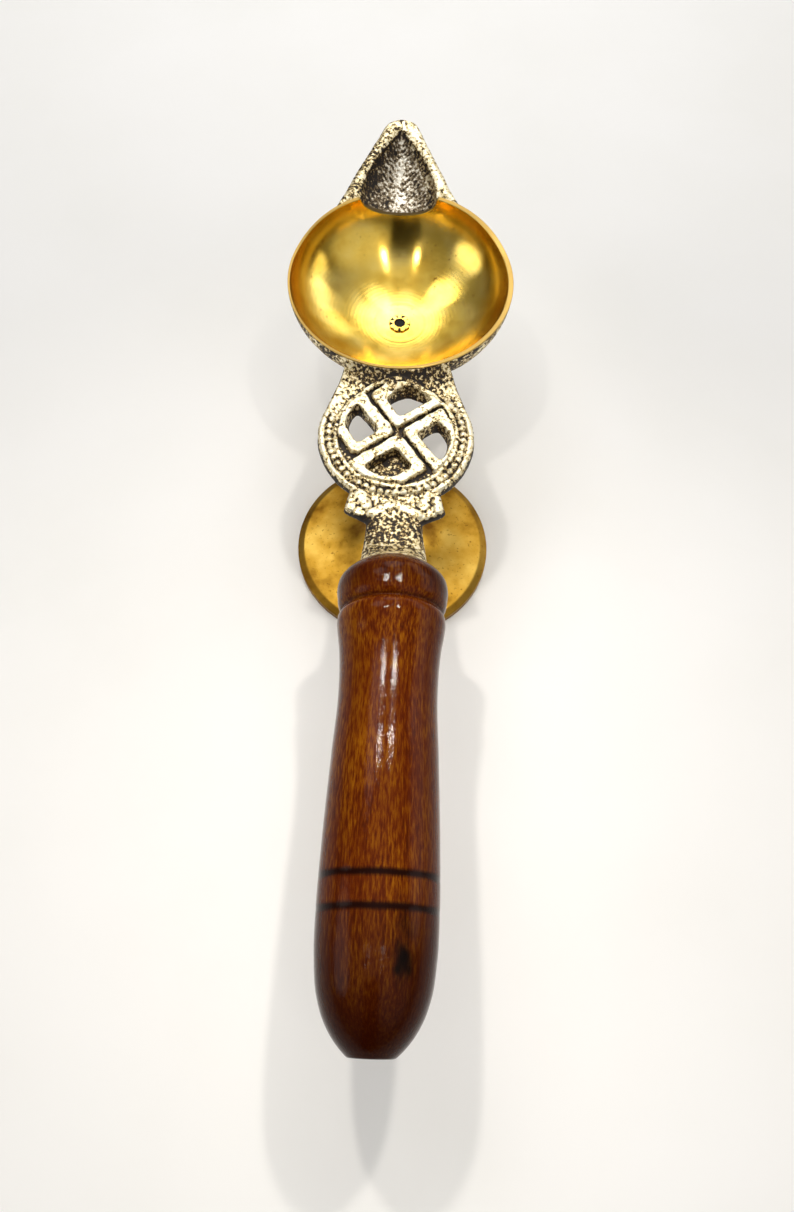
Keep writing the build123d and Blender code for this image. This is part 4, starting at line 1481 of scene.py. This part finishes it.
WARM = "#FFF9F0"
BOWL_AIM = (0, 54, 36)
HANDLE_AIM = (0, -110, 30)
PAPER_AIM = (0, 130, 0)
NEAR_STAND = (46, 8, 261)
BULB_STAND = (260, -230, 1180)
BULB_POWER = 0.36
for side, side_name, share in ((-1, "left", 0.4), (1, "right", 1.0)):
    mirror = np.array([side, 1, 1])
    add_lamp(f"near_lamp_{side_name}", mirror * NEAR_STAND, HANDLE_AIM,
             size=12, power=0.056, colour=WARM, spread=100)
    add_lamp(f"ceiling_bulb_{side_name}", mirror * BULB_STAND, BOWL_AIM,
             size=60, power=BULB_POWER * share, colour=WARM)
add_lamp("window", (-500, 440, 1000), BOWL_AIM, size=430, power=1.5)
add_lamp("window_pane", (204, 534, 1116), BOWL_AIM, size=220, power=0.4)
add_lamp("far_softbox", (0, 330, 350), PAPER_AIM, size=260, power=0.52)

# %% [markdown]
# ### Room
# Polished brass shows what is round it, so a plain grey world would make it dull. The room gets brighter
# towards the ceiling. Soft round patches stand for walls, windows and panes: each is brightest in one
# direction and fades between two cosines. A dark column on the near side gives the brass a shade to mirror.

# %% Room
VIEWER_X = -0.08
VIEWER_EDGE = (0.2, 0.27)
VIEWER_FAR = (-0.27, -0.2)
VIEWER_SHADE = 0.12
ROOM_PATCHES = (
    # far wall, left low window, right wall, right low window, right far pane, far low pane
    ((0.0, 0.78, 0.62), (0.72, 0.93), 0.25),
    ((-0.9, -0.12, 0.42), (0.94, 0.985), 2.0),
    ((0.62, -0.45, 0.64), (0.8, 0.97), 0.45),
    ((0.93, 0.26, 0.27), (0.945, 0.985), 1.4),
    ((0.74, 0.52, 0.42), (0.966, 0.99), 1.8),
    ((0.50, 0.77, 0.39), (0.966, 0.99), 1.5),
)
room = bpy.data.worlds.new("room")
room.use_nodes = True
bpy.context.scene.world = room
tree = room.node_tree
aim = node(tree, "ShaderNodeTexCoord").outputs["Generated"]
parts = node(tree, "ShaderNodeSeparateXYZ", {0: aim}).outputs
level = node(tree, "ShaderNodeValToRGB", {"Fac": parts["Z"]}, stops=[
    (0.0, 0.20), (0.6, 0.18), (0.9, 0.40), (1.0, 0.75)]).outputs["Color"]
for toward, (fading, full), glow in ROOM_PATCHES:
    facing = node(tree, "ShaderNodeVectorMath", {0: aim, 1: toward}, operation="DOT_PRODUCT").outputs["Value"]
    facing = node(tree, "ShaderNodeMapRange", {
        "Value": facing, "From Min": fading, "From Max": full}, interpolation_type="SMOOTHSTEP").outputs[0]
    level = node(tree, "ShaderNodeMath", {0: facing, 1: glow, 2: level}, operation="MULTIPLY_ADD").outputs[0]
aside = node(tree, "ShaderNodeMath", {0: parts["X"], 1: -VIEWER_X}, operation="ADD").outputs[0]
aside = node(tree, "ShaderNodeMath", {0: aside}, operation="ABSOLUTE").outputs[0]
beside, beyond = [
    node(tree, "ShaderNodeMapRange", {"Value": value, "From Min": low, "From Max": high}).outputs[0]
    for value, (low, high) in ((aside, VIEWER_EDGE), (parts["Y"], VIEWER_FAR))
]
open_room = node(tree, "ShaderNodeMath", {0: beside, 1: beyond}, operation="MAXIMUM").outputs[0]
shade = node(tree, "ShaderNodeMapRange", {"Value": open_room, "To Min": VIEWER_SHADE}).outputs[0]
level = node(tree, "ShaderNodeMath", {0: level, 1: shade}, operation="MULTIPLY").outputs[0]
background = tree.nodes["Background"]
tree.links.new(level, background.inputs["Strength"])
background.inputs["Color"].default_value = linear("#FFFDFA")
bpy.context.scene.view_settings.view_transform = "Standard"
print("room lit,", len(ROOM_PATCHES), "patches")
